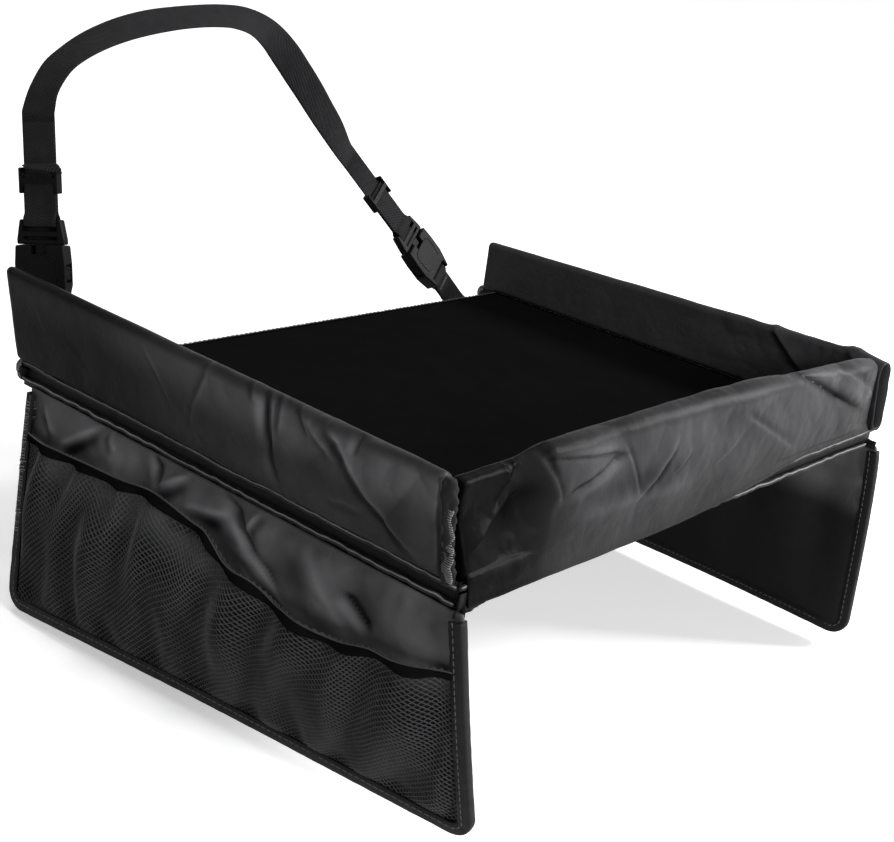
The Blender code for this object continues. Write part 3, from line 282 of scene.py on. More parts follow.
def soft_slab(name, node, rim, columns, rows, swell=None):
    """A flat piece with a rounded rim in a CAD node's box; swell gives its upper face's rise."""
    low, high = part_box(node)
    middle, half = (low + high) / 2, (high - low) / 2
    x, y = np.meshgrid(np.linspace(low.x, high.x, columns), np.linspace(low.y, high.y, rows))
    edge = np.minimum(half.x - abs(x - middle.x), half.y - abs(y - middle.y))
    inset = np.clip(edge / rim, 0, 1)
    thick = half.z * np.sqrt(1 - (1 - inset) ** 2 * 0.75)
    rise = swell(x, y) * inset if swell else 0
    return two_faced(name, places_of(x, y, middle.z + thick + rise),
                     places_of(x, y, middle.z - thick), np.stack([x, y], -1))


fluted_board = grainy_finish(("fluted_board", (0.35, 0.35, 0.34), 0.5, 0.5, 0.12, 40), 0.0003,
                             "Wave", Scale=1 / board_flute / 6.28, Distortion=0.2)
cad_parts["base_board"].data.materials.clear()
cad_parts["base_board"].data.materials.append(fluted_board)

white_foam = grainy_finish(("closed_cell_foam", (0.75, 0.75, 0.73), 0.9, 0.5, 0.08, 90), 0.0003,
                           "Voronoi", Scale=900.0)
base_foam = soft_slab("base_foam", "base_pad", rim=0.001, columns=24, rows=20)
finish_piece(base_foam, "tray", white_foam)
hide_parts("base_pad")


# The floor cover and the lining under it: plain woven cloth with a coated face, drawn flat
# over the core. The floor's face is matt and nearly black; the lining is the satin nylon.


def cloth_finish(name, colour, specular=0.03, roughness=0.36, thread=0.0006,
                 thread_depth=0.00002, crease_depth=0.0006):
    """Woven synthetic cloth: a fine plain weave over small soft creases, and uneven gloss."""
    made, tree, shader, place = start_finish(name, colour, roughness, specular, 0.22, 55)
    vary_gloss(tree, shader, add_noise(tree, place["Object"], 120.0, 3.0),
               roughness - 0.06, roughness + 0.08)
    add_bump(tree, shader, add_noise(tree, place["Object"], 70.0, 4.0, Roughness=0.62,
                                     Distortion=0.8), crease_depth)
    scaled = add_node(tree, "ShaderNodeVectorMath",
                      [(0, place["UV"]), ("Scale", 2 * math.pi / thread)], operation="SCALE")
    split = add_node(tree, "ShaderNodeSeparateXYZ", [(0, scaled.outputs[0])])
    over, under = (add_math(tree, "SINE", split.outputs[k]) for k in (0, 1))
    add_bump(tree, shader, add_math(tree, "MULTIPLY", over, under), thread_depth)
    return made


def vary_gloss(tree, shader, height, low, high):
    """Lets the roughness drift between two values with a texture's height."""
    gloss = add_node(tree, "ShaderNodeMapRange", [("Value", height), ("To Min", low),
                     ("To Max", high)])
    tree.links.new(gloss.outputs[0], shader.inputs["Roughness"])


def scale_colour(made, level):
    """Multiplies a finish's colour by a node's result."""
    tree = made.node_tree
    colour = tree.nodes["Principled BSDF"].inputs["Base Color"]
    scaled = add_node(tree, "ShaderNodeVectorMath", [(0, colour.links[0].from_socket),
                      ("Scale", level.outputs[0])], operation="SCALE")
    tree.links.new(scaled.outputs[0], colour)
    return made


def paint_shade_towards(made, axis, darkest_at, unshaded_at, share):
    """Painted shade: darkens a finish along one axis towards one end of the piece."""
    tree = made.node_tree
    place = add_node(tree, "ShaderNodeTexCoord")
    split = add_node(tree, "ShaderNodeSeparateXYZ", [(0, place.outputs["Object"])])
    return scale_colour(made, add_node(tree, "ShaderNodeMapRange", [
        ("Value", split.outputs[axis]), ("From Min", darkest_at), ("From Max", unshaded_at),
        ("To Min", share), ("To Max", 1.0)], interpolation_type="SMOOTHSTEP"))


def paint_fold_shading(made, share):
    """Painted highlights and shade: lightens a finish along the crests of the piece's marked folds
    and darkens the dips beside them.
    """
    fold = add_node(made.node_tree, "ShaderNodeAttribute", attribute_name="fold")
    return scale_colour(made, add_node(made.node_tree, "ShaderNodeMapRange", [
        ("Value", fold.outputs["Fac"]), ("From Min", -1.0), ("From Max", 2.0),
        ("To Min", 1 - share), ("To Max", 1 + 2 * share)]))


satin = cloth_finish("satin_nylon", (0.034, 0.034, 0.036))
floor_face = cloth_finish("coated_floor", (0.0050, 0.0050, 0.0053), specular=0.0,
                          roughness=0.55, thread=0.0007, crease_depth=0.00022)


def floor_swell(x, y):
    """Very shallow waves where the cover isn't drawn quite flat."""
    wave = 0.00022 * np.sin(x * 31 + 1.3 * np.sin(y * 17)) * np.sin(y * 23 + 0.8)
    return wave + 0.00012 * np.sin(x * 83 + y * 61)


floor_cloth = soft_slab("floor_cloth", "floor_cover", rim=0.002, columns=90, rows=74,
                        swell=floor_swell)
finish_piece(floor_cloth, "tray", floor_face)
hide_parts("floor_cover")

lining_cloth = soft_slab("lining_cloth", "underside_lining", rim=0.001, columns=60, rows=50)
finish_piece(lining_cloth, "tray", satin)
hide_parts("underside_lining")


# The rear binding: cloth tape folded round the open rear edge and sewn through with one row
# of stitches on each face.


def thread_finish(name, colour):
    return grainy_finish((name, colour, 0.5, 0.5, 0.3, 300), 0.0001, "Noise", Scale=1800.0,
                         Detail=1.0)


sewing_thread = thread_finish("sewing_thread", (0.05, 0.05, 0.052))


def unit(ways):
    """The same ways, each one long."""
    return ways / np.linalg.norm(ways, axis=-1, keepdims=True)


def turns_of(count):
    """Even angles round a ring."""
    return np.linspace(0, 2 * math.pi, count, endpoint=False)


def tube_faces(rows, ring, shift=0):
    """The skin through equal rings of points, with a face across each end."""
    last = shift + (rows - 1) * ring
    return skin_faces(rows, ring, True, shift) + [tuple(range(shift + ring - 1, shift - 1, -1)),
                                                  tuple(range(last, last + ring))]


def interpolated(at, marks, rows):
    """Places between rows of places that lie at the given marks."""
    return np.stack([np.interp(at, marks, rows[:, k]) for k in range(3)], 1)


def along_route(route, step):
    """Points at an even step along a polyline, with the run there."""
    route = np.asarray(route, float)
    lengths = np.linalg.norm(np.diff(route, axis=0), axis=1)
    total = np.concatenate([[0], np.cumsum(lengths)])
    marks = np.arange(0, total[-1], step)
    points = interpolated(marks, total, route)
    return points, interpolated(np.minimum(marks + step / 4, total[-1]), total, route) - points


def stitch_row(name, route, facing, radius=0.00032, length=0.0026, pause=0.0011):
    """A row of thread dashes along a route; facing is the way the cloth faces under it."""
    points, runs = along_route(route, length + pause)
    way = unit(runs)
    side = unit(np.cross(way, facing))
    angle = turns_of(6)[:, None]
    round_it = (side[:, None] * np.cos(angle)
                + np.cross(side, way)[:, None] * np.sin(angle) * 0.7)
    share, swell = np.array([(0, 0.35), (0.15, 0.9), (0.5, 1.0), (0.85, 0.9), (1, 0.35)]).T
    verts = ((points[:, None] + way[:, None] * (length * share)[:, None])[:, :, None]
             + round_it[:, None] * (radius * swell)[:, None, None])
    size = len(share) * len(angle)
    faces = [face for dash in range(len(points))
             for face in tube_faces(len(share), len(angle), dash * size)]
    return new_piece(name, verts, faces)


def noise_field(places, seed, wavelength):
    """Smooth noise, about -1 to 1, at an array of places."""
    places = np.asarray(places)
    spots = (places.reshape(-1, 3) / wavelength + np.array((seed, seed * 1.7, seed * 0.3))).tolist()
    return np.array([noise.noise(spot) for spot in spots]).reshape(places.shape[:-1])


def build_rear_binding():
    low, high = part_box("rear_binding")
    radius, centre_z = (high.z - low.z) / 2, (high.z + low.z) / 2
    step, x = np.meshgrid(np.linspace(-1, 1, 19), np.linspace(low.x, high.x, 161))
    angle = math.pi / 2 * step
    pucker = 0.00022 * noise_field(places_of(x, (step + 1) * 0.018), 3, 0.006)
    sewn_in = 0.0004 * np.exp(-((abs(step) * 9 - 7) / 1.2) ** 2)
    reach = radius + pucker - sewn_in
    piece = new_piece("rear_binding_tape",
                      places_of(x, low.y + np.cos(angle) * reach, centre_z + np.sin(angle) * reach),
                      tube_faces(*x.shape), np.stack([x, angle * radius], -1))
    finish_piece(piece, "tray", satin)
    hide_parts("rear_binding")
    for side, name in ((1, "upper"), (-1, "lower")):
        rise = radius * 0.93 * side
        reach = math.sqrt(radius ** 2 - rise ** 2)
        route = [(x, low.y + reach, centre_z + rise) for x in (low.x + 0.003, high.x - 0.003)]
        row = stitch_row(f"rear_binding_{name}_stitches", route, (0, 0.3, side))
        finish_piece(row, "tray", sewing_thread)


build_rear_binding()


# The edge bands and their piping: a strip of black cloth round the base's edge between two
# rows of cloth-covered cord, pulled a little wavy by the stitching.

piping_radius = 0.0013
highlight_radius = 0.00042
piping_cloth = cloth_finish("piping_cloth", (0.022, 0.022, 0.023), specular=0.08, roughness=0.45,
                            thread=0.0005, thread_depth=0.00003, crease_depth=0.0004)
# Painted highlight: a pale grey cloth for the thin tube along each cord's upper outer side, in
# place of the satin's glint.
cord_highlight_cloth = cloth_finish("painted_cord_highlight", (0.22, 0.22, 0.225), specular=0.05, roughness=0.45,
                            thread=0.0005, thread_depth=0.00006, crease_depth=0.0008)
band_cloth = cloth_finish("band_cloth", (0.004, 0.004, 0.0045), specular=0.10, roughness=0.48,
                          thread_depth=0.00003, crease_depth=0.0005)


def build_piping(name, node, seed, thick=piping_radius, out=0, up=0):
    """One run of piping inside a CAD node's box, with the small waves of its stitching."""
    low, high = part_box(node)
    size, centre = high - low, np.array((low + high) / 2)
    length = max(size.x, size.y)
    run, side = ((1, 0, 0), (0, -1, 0)) if size.x > size.y else ((0, 1, 0), (1, 0, 0))
    side, upward = np.array(side), np.array((0, 0, 1))
    count = int(length / 0.0016)
    share = np.linspace(0, 1, count + 1)[:, None]
    line = centre + (share - 0.5) * length * np.array(run)
    sway = 0.0006 * noise_field(line, seed, 0.016) + 0.0004 * noise_field(line, seed + 9, 0.006)
    rise = 0.0012 * noise_field(line, seed + 4, 0.019) + 0.0005 * noise_field(line, seed + 6, 0.006)
    rise = abs(rise) if "lower" in name else rise * 0.6
    line = line + side * sway[:, None] + upward * rise[:, None]
    radius = thick + 0.10 * piping_radius * noise_field(line, seed + 2, 0.004)[:, None]
    radius[[0, -1]] *= 0.7
    line = line + side * math.copysign(out, side @ centre) + upward * up
    turn = turns_of(10)
    ring = side * np.cos(turn)[:, None] + upward * np.sin(turn)[:, None]
    flat = np.stack(np.broadcast_arrays(radius * turn, length * share), -1)
    return new_piece(name, line[:, None] + ring * radius[..., None],
                     tube_faces(count + 1, len(turn)), flat)


for seed, edge in enumerate(("front", "left", "right")):
    for row in ("upper", "lower"):
        node = f"{edge}_{row}_piping"
        wave_seed = seed + (3 if row == "lower" else 0)
        cord = build_piping(f"{edge}_{row}_cord", node, wave_seed)
        finish_piece(cord, "tray", piping_cloth)
        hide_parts(node)
        # A thin pale tube riding on the cord's upper outer side: a painted highlight.
        cord_highlight = build_piping(f"{edge}_{row}_cord_edge", node, wave_seed, highlight_radius,
                           out=0.0009, up=0.0008)
        finish_piece(cord_highlight, "tray", cord_highlight_cloth)


def build_band(edge, seed):
    """The strip between the two cords: a thin ribbon with shallow upright puckers."""
    node = f"{edge}_edge_band"
    low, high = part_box(node)
    across = 1 if edge == "front" else 0
    outer, inner, sign = (high, low, 1) if edge == "right" else (low, high, -1)
    length = (high - low)[1 - across]
    rows = 7
    level = np.concatenate([np.arange(rows), np.arange(rows)[::-1]]) / (rows - 1)
    outside = np.arange(2 * rows) < rows
    z = low.z + (high.z - low.z) * level
    along = np.linspace(0, length, int(length / 0.002) + 1)[:, None]
    pucker = (0.00035 * noise_field(places_of(along, z, float(seed)), seed, 0.007)
              * np.sin(math.pi * level))
    place = np.where(outside, outer[across] + sign * pucker, inner[across])
    run = low[1 - across] + along
    points = places_of(run, place, z) if across else places_of(place, run, z)
    piece = new_piece(f"{edge}_band", points, tube_faces(*points.shape[:2]),
                      np.stack(np.broadcast_arrays(along, z), -1))
    finish_piece(piece, "tray", band_cloth)
    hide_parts(node)


for seed, edge in enumerate(("front", "left", "right")):
    build_band(edge, seed + 11)


# The three padded walls: one loose satin cover sewn round each foam board. The left wall leans
# out, flat over its rear half and creased where it swells in front; the front wall is stuffed
# fuller, drawn in at the left corner, and its cover hangs on as a skirt over the front piping;
# the right wall stands upright and its cover gapes at the front end.

half_width = 0.200
half_depth = 0.160
wall_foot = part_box("floor_cover")[1].z + gap
cover_cloth = 0.0009
end_rounding = 0.003
Wall = namedtuple("Wall", "name side lean thickness start end first_top last_top crown")
Crease = namedtuple("Crease", "start end depth width fall")


def folds(*rows):
    """Creases from rows of their start, end, depth and width in millimetres, and their fall."""
    return [Crease((x / 1000, z / 1000), (end_x / 1000, end_z / 1000), depth / 1000,
                   width / 1000, fall) for x, z, end_x, end_z, depth, width, fall in rows]


def crumple_field(places, seed, wavelength, octaves=3):
    """Soft bulges between sharp folds, finer and finer."""
    total = 0
    for octave in range(octaves):
        wander = noise_field(places, seed + 5 * octave, wavelength / 1.9 ** octave)
        total = total + (abs(wander) * 2 - 0.4) / 2.1 ** octave
    return total


def ease(share):
    share = np.clip(share, 0, 1)
    return share * share * (3 - 2 * share)


def beside_fold(along, rise, crease):
    """How far to one side of a fold each place lies, and how the fold fades at its ends."""
    run = np.array(crease.end) - np.array(crease.start)
    length = math.hypot(*run)
    run = run / length
    ahead = (along - crease.start[0]) * run[0] + (rise - crease.start[1]) * run[1]
    aside = (along - crease.start[0]) * run[1] - (rise - crease.start[1]) * run[0]
    share = ahead / length
    return aside, ease((share + 0.12) / 0.35) * ease((1.12 - share) / 0.35)


def crease_field(along, rise, creases):
    """The relief of listed folds: each has a sharp crest, steep on one side."""
    relief = np.zeros_like(along)
    for crease in creases:
        aside, fade = beside_fold(along, rise, crease)
        width = np.where(aside > 0, crease.width * crease.fall, crease.width)
        relief += crease.depth * fade * np.exp(-np.abs(aside) / width)
    return relief


def mark_folds(piece, along_axis, level, creases, out_axis, out_sign, sheen_patch_share, seed):
    """Keeps for the finish a painted tone: highlights on the folds' crests, shade in the dips
    beside them, and broad painted sheen patches.
    """
    mesh = piece.data
    places, normals = np.empty((2, len(mesh.vertices) * 3))
    mesh.vertices.foreach_get("co", places)
    mesh.vertices.foreach_get("normal", normals)
    places, normals = places.reshape(-1, 3), normals.reshape(-1, 3)
    along, rise = places[:, along_axis], places[:, 2] - level
    # Painted sheen: broad light and dark patches where the satin's waves would catch the light.
    tone = sheen_patch_share * noise_field(places_of(along, rise * 1.3), seed, 0.030)
    for crease in creases:
        aside, fade = beside_fold(along, rise, crease)
        crest = np.exp(-(aside / (crease.width * 0.8)) ** 2)
        dip = np.exp(-((aside + 2.4 * crease.width) / (crease.width * 1.5)) ** 2)
        tone += fade * np.clip(crease.depth / 0.0025, -1, 1) * (crest - 0.9 * dip)
    tone = np.clip(tone, -1, 1.6) * ease(normals[:, out_axis] * out_sign * 3 + 0.6)
    mesh.attributes.new("fold", "FLOAT", "POINT").data.foreach_set("value", tone)


def wall_outline(face_rows, cap_rows):
    """Places round a wall's section: how far across, up the straight and up the cap."""
    face = np.linspace(0, 1, face_rows, endpoint=False)
    turn = np.linspace(0, math.pi, cap_rows, endpoint=False)
    flat, round_cap = np.zeros(face_rows), np.ones(cap_rows)
    return np.array([np.concatenate(quarters) for quarters in (
        (flat + 1, np.cos(turn), flat - 1, -np.cos(turn)),
        (face, round_cap, 1 - face, round_cap - 1),
        (flat, np.sin(turn), flat, -np.sin(turn)))])


def wall_top(wall, along):
    share = (along - wall.start) / (wall.end - wall.start)
    return (wall.first_top + (wall.last_top - wall.first_top) * share
            + wall.crown * np.sin(math.pi * np.clip(share, 0, 1)))


def wall_points(wall, along, outline, thickness, skin, relief):
    """World places of a wall's skin; relief is how far the cloth stands off the wall's form."""
    across, share, lift = outline
    along = np.repeat(along[:, None], len(across), 1)
    radius = thickness / 2
    rise = (radius + share * (wall_top(wall, along) - wall_foot - thickness)
            + lift * (radius - skin) + np.maximum(lift, 0) * relief * 0.5)
    out = across * (radius - skin + relief)
    if wall.side == 0:
        return places_of(along, wall.lean * (rise - radius) + radius - half_depth - out,
                         wall_foot + rise)
    middle = half_width + wall.lean * (wall_foot + rise) - radius
    return places_of(wall.side * (middle + out), along, wall_foot + rise)


def shut_cover(wall, along, outline, thickness, relief_at, from_end, depth):
    """A cover's face along a wall, rounded off near its shut ends, with its relief."""
    across, share, lift = outline
    grid = np.repeat(along[:, None], len(across), 1)
    rise = (thickness / 2 + share * (wall_top(wall, grid) - wall_foot - thickness)
            + lift * thickness / 2)
    relief = relief_at(grid, rise, np.broadcast_to(across, grid.shape))
    bend = 1 - np.clip(from_end / end_rounding, 0, 1)[:, None]
    skin = (1 - np.sqrt(1 - bend ** 2 * 0.6)) * depth
    return wall_points(wall, along, outline, thickness, skin, relief), relief


def cover_skin(name, points):
    """A closed skin over stations of points round a section, with its cloth places."""
    stations, count = points.shape[:2]
    ahead = np.linalg.norm(np.diff(points, axis=0), axis=2).mean(1)
    around = np.linalg.norm(np.diff(points, axis=1), axis=2)
    flat = np.zeros((stations, count, 2))
    flat[1:, :, 0] = np.cumsum(ahead)[:, None]
    flat[:, 1:, 1] = np.cumsum(around, axis=1)
    return new_piece(name, points, tube_faces(stations, count), flat)


left_wall = Wall("left", -1, 0.19, 0.007, -half_depth + 0.0103, half_depth, 0.0602, 0.063, 0)
right_wall = Wall("right", 1, -0.02, 0.007, -half_depth, half_depth - 0.004, 0.0531, 0.0441, 0)
front_wall = Wall("front", 0, 0.10, 0.010, -half_width + 0.0041, half_width - 0.0155, 0.060,
                  0.0531, 0.004)

left_creases = folds(
    (43.9, 44.9, 18.5, 20.6, 1.4, 1.6, 3), (-8.3, 56.2, 4.7, 16.2, 1.3, 1.4, 3),
    (12, 54, -19.8, 59.3, 1.1, 1.3, 2), (-35.6, 56.7, -39, 46.1, 1.3, 1.2, 2),
    (-44.4, 52.4, -54, 9.3, -2.2, 1.6, 3), (-48, 56, -56, 25, 1.6, 1.2, 2),
    (-55.3, 57.7, -58.2, 36.7, 1.4, 1.2, 2), (-68.3, 52.2, -91.8, 36.4, 1.3, 1.3, 3),
    (-85, 52.6, -137.9, 10.2, 2.9, 1.8, 3), (-66.5, 54.5, -77.5, 41.3, 1.3, 1.2, 2),
    (-104.7, 51.5, -103.8, 42.5, -1.4, 1.3, 2), (-87.7, 18.6, -108.3, 19.5, 1, 1.8, 2))


def left_relief(along, rise, across):
    """The swell of the left cover's front half, its creases and the drawn-in seam."""
    height = rise / 0.06
    swell = ease((0.052 - along) / 0.075) * ease((along + 0.168) / 0.035)
    belly = 0.0068 * swell * np.sin(math.pi * np.clip(height, 0, 1) ** 0.75)
    places = places_of(along, rise * 0.8, across * 0.01)
    crumple = 0.0024 * crumple_field(places, 21, 0.036) * (0.10 + swell)
    creases = crease_field(along, rise, left_creases)
    pucker = 0.0005 * noise_field(places, 4, 0.007) * np.exp(-rise / 0.006)
    edge = ease(rise / 0.010)
    outer = belly + (crumple + creases) * edge + pucker
    inner = 0.0004 * noise_field(places, 8, 0.035) * edge
    return np.where(across >= 0, outer * np.minimum(1, across + 0.35), inner)


def build_left_cover():
    """The left wall's cover: shut in front and turned in at the rear like a sewn hem."""
    outline = wall_outline(58, 12)
    thick = left_wall.thickness
    along = np.linspace(left_wall.start, left_wall.end, 330)
    outer, relief = shut_cover(left_wall, along, outline, thick, left_relief,
                               np.minimum(along - left_wall.start, left_wall.end - along), 0.0012)
    back = np.linspace(left_wall.end - 0.0002, left_wall.end - 0.005, 5)
    inner = wall_points(left_wall, back, outline, thick, cover_cloth + 0.0006, relief[-1] * 0.3)
    return cover_skin("left_wall_cover", np.concatenate([outer, inner]))


left_cover = build_left_cover()
# Painted light and shade: the left cover's satin is a brighter copy of the plain satin, darkened as
# painted shade over its rear half, towards its foot and along its top edge, with painted highlights
# and shade along its folds.
left_satin = cloth_finish("left_wall_satin", (0.076, 0.076, 0.079), crease_depth=0.0005)
paint_shade_towards(paint_shade_towards(left_satin, 1, 0.11, -0.03, 0.22), 2, 0.034, 0.052, 0.42)
paint_shade_towards(left_satin, 2, 0.0610, 0.0550, 0.30)
mark_folds(left_cover, 1, wall_foot, left_creases, 0, -1, 0.35, 5)
finish_piece(left_cover, "tray", paint_fold_shading(left_satin, 0.85))
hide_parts("left_wall_sleeve")

front_creases = folds(
    (-146.3, 47.1, -87.2, 38.7, -1.8, 1.3, 3), (-87.2, 38.7, -132.5, 28.2, -1.9, 1.3, 3),
    (-87.9, 42.5, -75.7, 16.3, 1.6, 1.3, 3), (-46.1, 38.9, -75.4, 14.7, 2.7, 1.4, 2.5),
    (-31, 31.3, -45.8, 23.5, 1.3, 1.2, 3), (64.9, 59.6, 167.7, 16.6, -4.8, 3.2, 2),
    (13.1, 27.6, -5.6, 18.4, 1.1, 1.3, 3), (19.3, 39.3, 77.9, 10.9, 1.4, 1.6, 4),
    (-168.7, 57.1, -164.6, 41.5, 1.9, 1.2, 3), (-156.2, 57.3, -168.1, 36.8, 2.2, 1.2, 2),
    (-151.3, 52.2, -138.9, 26.1, 2.2, 1.4, 3), (-151.9, 41.5, -191.6, 14.2, 2.1, 3, 2),
    (-150, 56, -172, 30, -1.9, 1.6, 2), (-74.7, 51.7, 64, 49.7, 1.9, 2, 3),
    (-74.7, 53, 150, 49, 1.4, 3, 3), (114.7, 53.8, 181.3, 23.6, 1.4, 2.2, 2),
    (-130, 17, -30, 13, 1.3, 4, 2))
hollow_end = -0.1395
skirt_end = 0.0998
skirt_overhang = 0.001
skirt_out = 0.0018


def slump(along):
    """How far the front wall's left end has sunk and drawn in, 1 at the corner."""
    return ease((-0.142 - along) / 0.016)


def front_relief(along, rise, across):
    """The stuffed belly of the front wall, its creases and the hollow by the corner."""
    height = np.clip(rise / 0.058, 0, 1)
    full = ease((along + 0.165) / 0.06) * ease((0.187 - along) / 0.03)
    belly = 0.0042 * full * np.sin(math.pi * height ** 0.8)
    places = places_of(along, rise, across * 0.008)
    crumple = 0.0026 * crumple_field(places * np.array((1, 0.7, 1)), 51, 0.060, 2)
    creases = crease_field(along, rise, front_creases)
    hollow = -0.0060 * slump(along) * np.sin(math.pi * np.clip(height, 0, 1))
    edge = ease((rise + 0.004) / 0.012)
    outer = belly + hollow + (crumple + creases) * edge + 0.0003 * noise_field(places, 5, 0.006)
    inner = 0.0018 * full * np.sin(math.pi * height) + 0.0005 * crumple_field(places, 63, 0.035)
    return np.where(across >= 0, outer, inner)


def build_front_cover():
    """The front wall's cover, whose outer face runs on down as the skirt."""
    skirt_rows = 12
    along = np.linspace(front_wall.start, front_wall.end, 400)
    wall = shut_cover(front_wall, along, wall_outline(56, 16), front_wall.thickness, front_relief,
                      np.minimum(along - front_wall.start, front_wall.end - along), 0.002)[0]
    column = along[:, None]
    wall[..., 2] -= slump(column) * 0.0055 * np.clip((wall[..., 2] - wall_foot) / 0.05, 0, 1)
    wall[..., 1] += slump(column) * 0.0040 * np.clip((wall[..., 2] - wall_foot) / 0.05, 0, 1)
    hang = ease((skirt_end + 0.006 - column) / 0.15) ** 0.7
    wave = 0.0006 * noise_field(places_of(column, 0.0), 31, 0.018)
    low = wall_foot + gap - (wall_foot + gap + skirt_overhang + wave) * hang
    levels = np.linspace(0, 1, skirt_rows, endpoint=False)
    height = low + (wall_foot + 0.0052 - low) * levels
    puckers = 0.0007 * noise_field(places_of(column, height), 37, 0.009)
    hem = 0.0006 * np.exp(-((height - low) / 0.0018) ** 2)
    out = half_depth + skirt_out * np.minimum(1, hang * 3) + puckers * levels + hem
    out = out - (wall[:, :1, 1] + out[:, -1:]) * levels ** 3
    outer = places_of(column, -out, height)
    inner = places_of(column, -out + cover_cloth, height + 0.0003)[:, ::-1]
    inner[..., 1] = np.maximum(inner[..., 1], -half_depth - skirt_out * 0.55)
    return cover_skin("front_wall_cover", np.concatenate([outer, wall[:, :-4], inner[:, 1:]], 1))


front_cover = build_front_cover()
# Painted light and shade: the front cover's satin is a brighter copy of the plain satin, darkened
# as painted shade at its hollow left end, towards its foot and along its top edge, with painted
# highlights and shade along its folds.
front_satin = cloth_finish("front_wall_satin", (0.040, 0.040, 0.042))
paint_shade_towards(paint_shade_towards(front_satin, 0, -0.172, -0.110, 0.03), 2, 0.002, 0.046, 0.50)
paint_shade_towards(front_satin, 2, 0.0610, 0.0540, 0.40)
mark_folds(front_cover, 0, wall_foot, front_creases, 1, -1, 0.45, 9)
finish_piece(front_cover, "tray", paint_fold_shading(front_satin, 0.85))
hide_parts("front_wall_sleeve", "front_skirt")

right_creases = folds(
    (-68, 52, -108, 18, 2.6, 1.8, 3), (-110, 50, -145, 42, 1.9, 2.2, 2),
    (-128, 47, -150, 30, 2.2, 2.2, 2), (-20, 50, 40, 44, 1, 2.2, 3))


def right_relief(along, rise, across):
    """The right wall lies nearly flat, with a few folds towards its open front end."""
    loose = ease((0.02 - along) / 0.14)
    crumple = 0.0011 * crumple_field(places_of(along, rise, across * 0.01), 77, 0.034)
    crumple = crumple * (0.22 + loose)
    creases = crease_field(along, rise, right_creases) * np.where(across < 0.3, 1, 0.4)
    edge = ease(rise / 0.010)
    return (crumple + creases) * edge


def build_right_cover():
    """The right wall's cover: shut at the rear, with a gaping mouth at the front."""
    outline = wall_outline(48, 12)
    mouth_depth, mouth_flare, mouth_thickness = 0.042, 0.045, 0.014
    start, end = right_wall.start, right_wall.end

    def thickness(place):
        flare = np.clip(1 - (place - start) / mouth_flare, 0, 1)[:, None]
        return right_wall.thickness + (mouth_thickness - right_wall.thickness) * flare ** 2

    along = np.linspace(end, start, 300)
    outer, relief = shut_cover(right_wall, along, outline, thickness(along), right_relief,
                               end - along, 0.0012)
    back = np.linspace(start + 0.0002, start + mouth_depth, 12)
    inner = wall_points(right_wall, back, outline, thickness(back), cover_cloth,
                        relief[-1] * np.linspace(1, 0.2, 12)[:, None])
    points = np.concatenate([outer, inner])
    near = ease((start + 0.03 - points[..., 1]) / 0.03)
    height = np.clip(points[..., 2] / 0.05, 0, 1)
    points[..., 1] -= near * (0.004 * (1 - height) - 0.001)
    points[..., 2] -= near ** 2 * height * 0.00135
    return cover_skin("right_wall_cover", points)


right_cover = build_right_cover()
finish_piece(right_cover, "tray", satin)
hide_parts("right_wall_sleeve")


def build_foam(wall):
    """The foam board inside a wall, with rounded long edges and slightly uneven faces."""
    low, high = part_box(f"{wall.name}_wall_foam")
    first, last = (hollow_end, high.x) if wall.side == 0 else (low.y, high.y)
    outline = wall_outline(14, 5)
    along = np.linspace(first, last, 60)
    uneven = noise_field(places_of(along[:, None], outline[1], outline[0]), 15, 0.03)
    rounding = np.clip(np.minimum(along - first, last - along) / 0.002, 0, 1)
    skin = cover_cloth + 2 * gap + (1 - rounding)[:, None] * 0.0008
    foam = cover_skin(f"{wall.name}_wall_board",
                      wall_points(wall, along, outline, wall.thickness, skin,
                                  0.0003 * (uneven - 0.6)))
    finish_piece(foam, "tray", white_foam)
    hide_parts(f"{wall.name}_wall_foam")


for wall in (left_wall, front_wall, right_wall):
    build_foam(wall)


# The two hanging flaps: a satin panel sewn under the lower piping, gathered at its seam and
# creased over its upper band, drawn in at the front and hanging free below.

piping_out = half_width - piping_radius
piping_level = -0.0012
flap_length = 0.3115
flap_drop = 0.130
flap_cloth = 0.0012
corner_radius = 0.012
fold_place_shares = (0.10, 0.27, 0.41, 0.58, 0.74, 0.90)
mouth_place_shares = (0.0, 0.12, 0.22, 0.31, 0.40, 0.50, 0.60, 0.72, 0.86, 1.0)
mouth_drop_shares = (0.235, 0.265, 0.310, 0.290, 0.240, 0.155, 0.120, 0.143, 0.166, 0.190)
Flap = namedtuple("Flap", "name side front_drop_share rear_drop_share front_tuck rear_flare "
                  "front_shift rear_shift creases seed")


def flap_middle(flap, s, t):
    """The flap's middle surface: s from front to rear, t from the seam to the bottom."""
    seam_gap = piping_radius + 2 * gap
    drop = flap_drop * (flap.front_drop_share
                        + (flap.rear_drop_share - flap.front_drop_share) * s)
    drop = drop - 0.005 * np.sin(math.pi * s)
    down = seam_gap + (drop - seam_gap) * t
    out = -flap.front_tuck * (1 - s) ** 2 * t ** 1.3 + flap.rear_flare * s ** 2 * t
    gather = 6.5 * t * (1 - t) ** 2
    out = out + 0.006 * gather * np.sin(math.pi * s)
    for place in fold_place_shares:
        out = out + 0.004 * gather * np.exp(-((s - place) / 0.045) ** 2)
    front = -half_depth - 0.0025 - flap.front_shift * t ** 0.6
    rear = half_depth - 0.011 + flap.rear_shift * t
    return places_of(flap.side * (piping_out + out), front + (rear - front) * s,
                     piping_level - down)


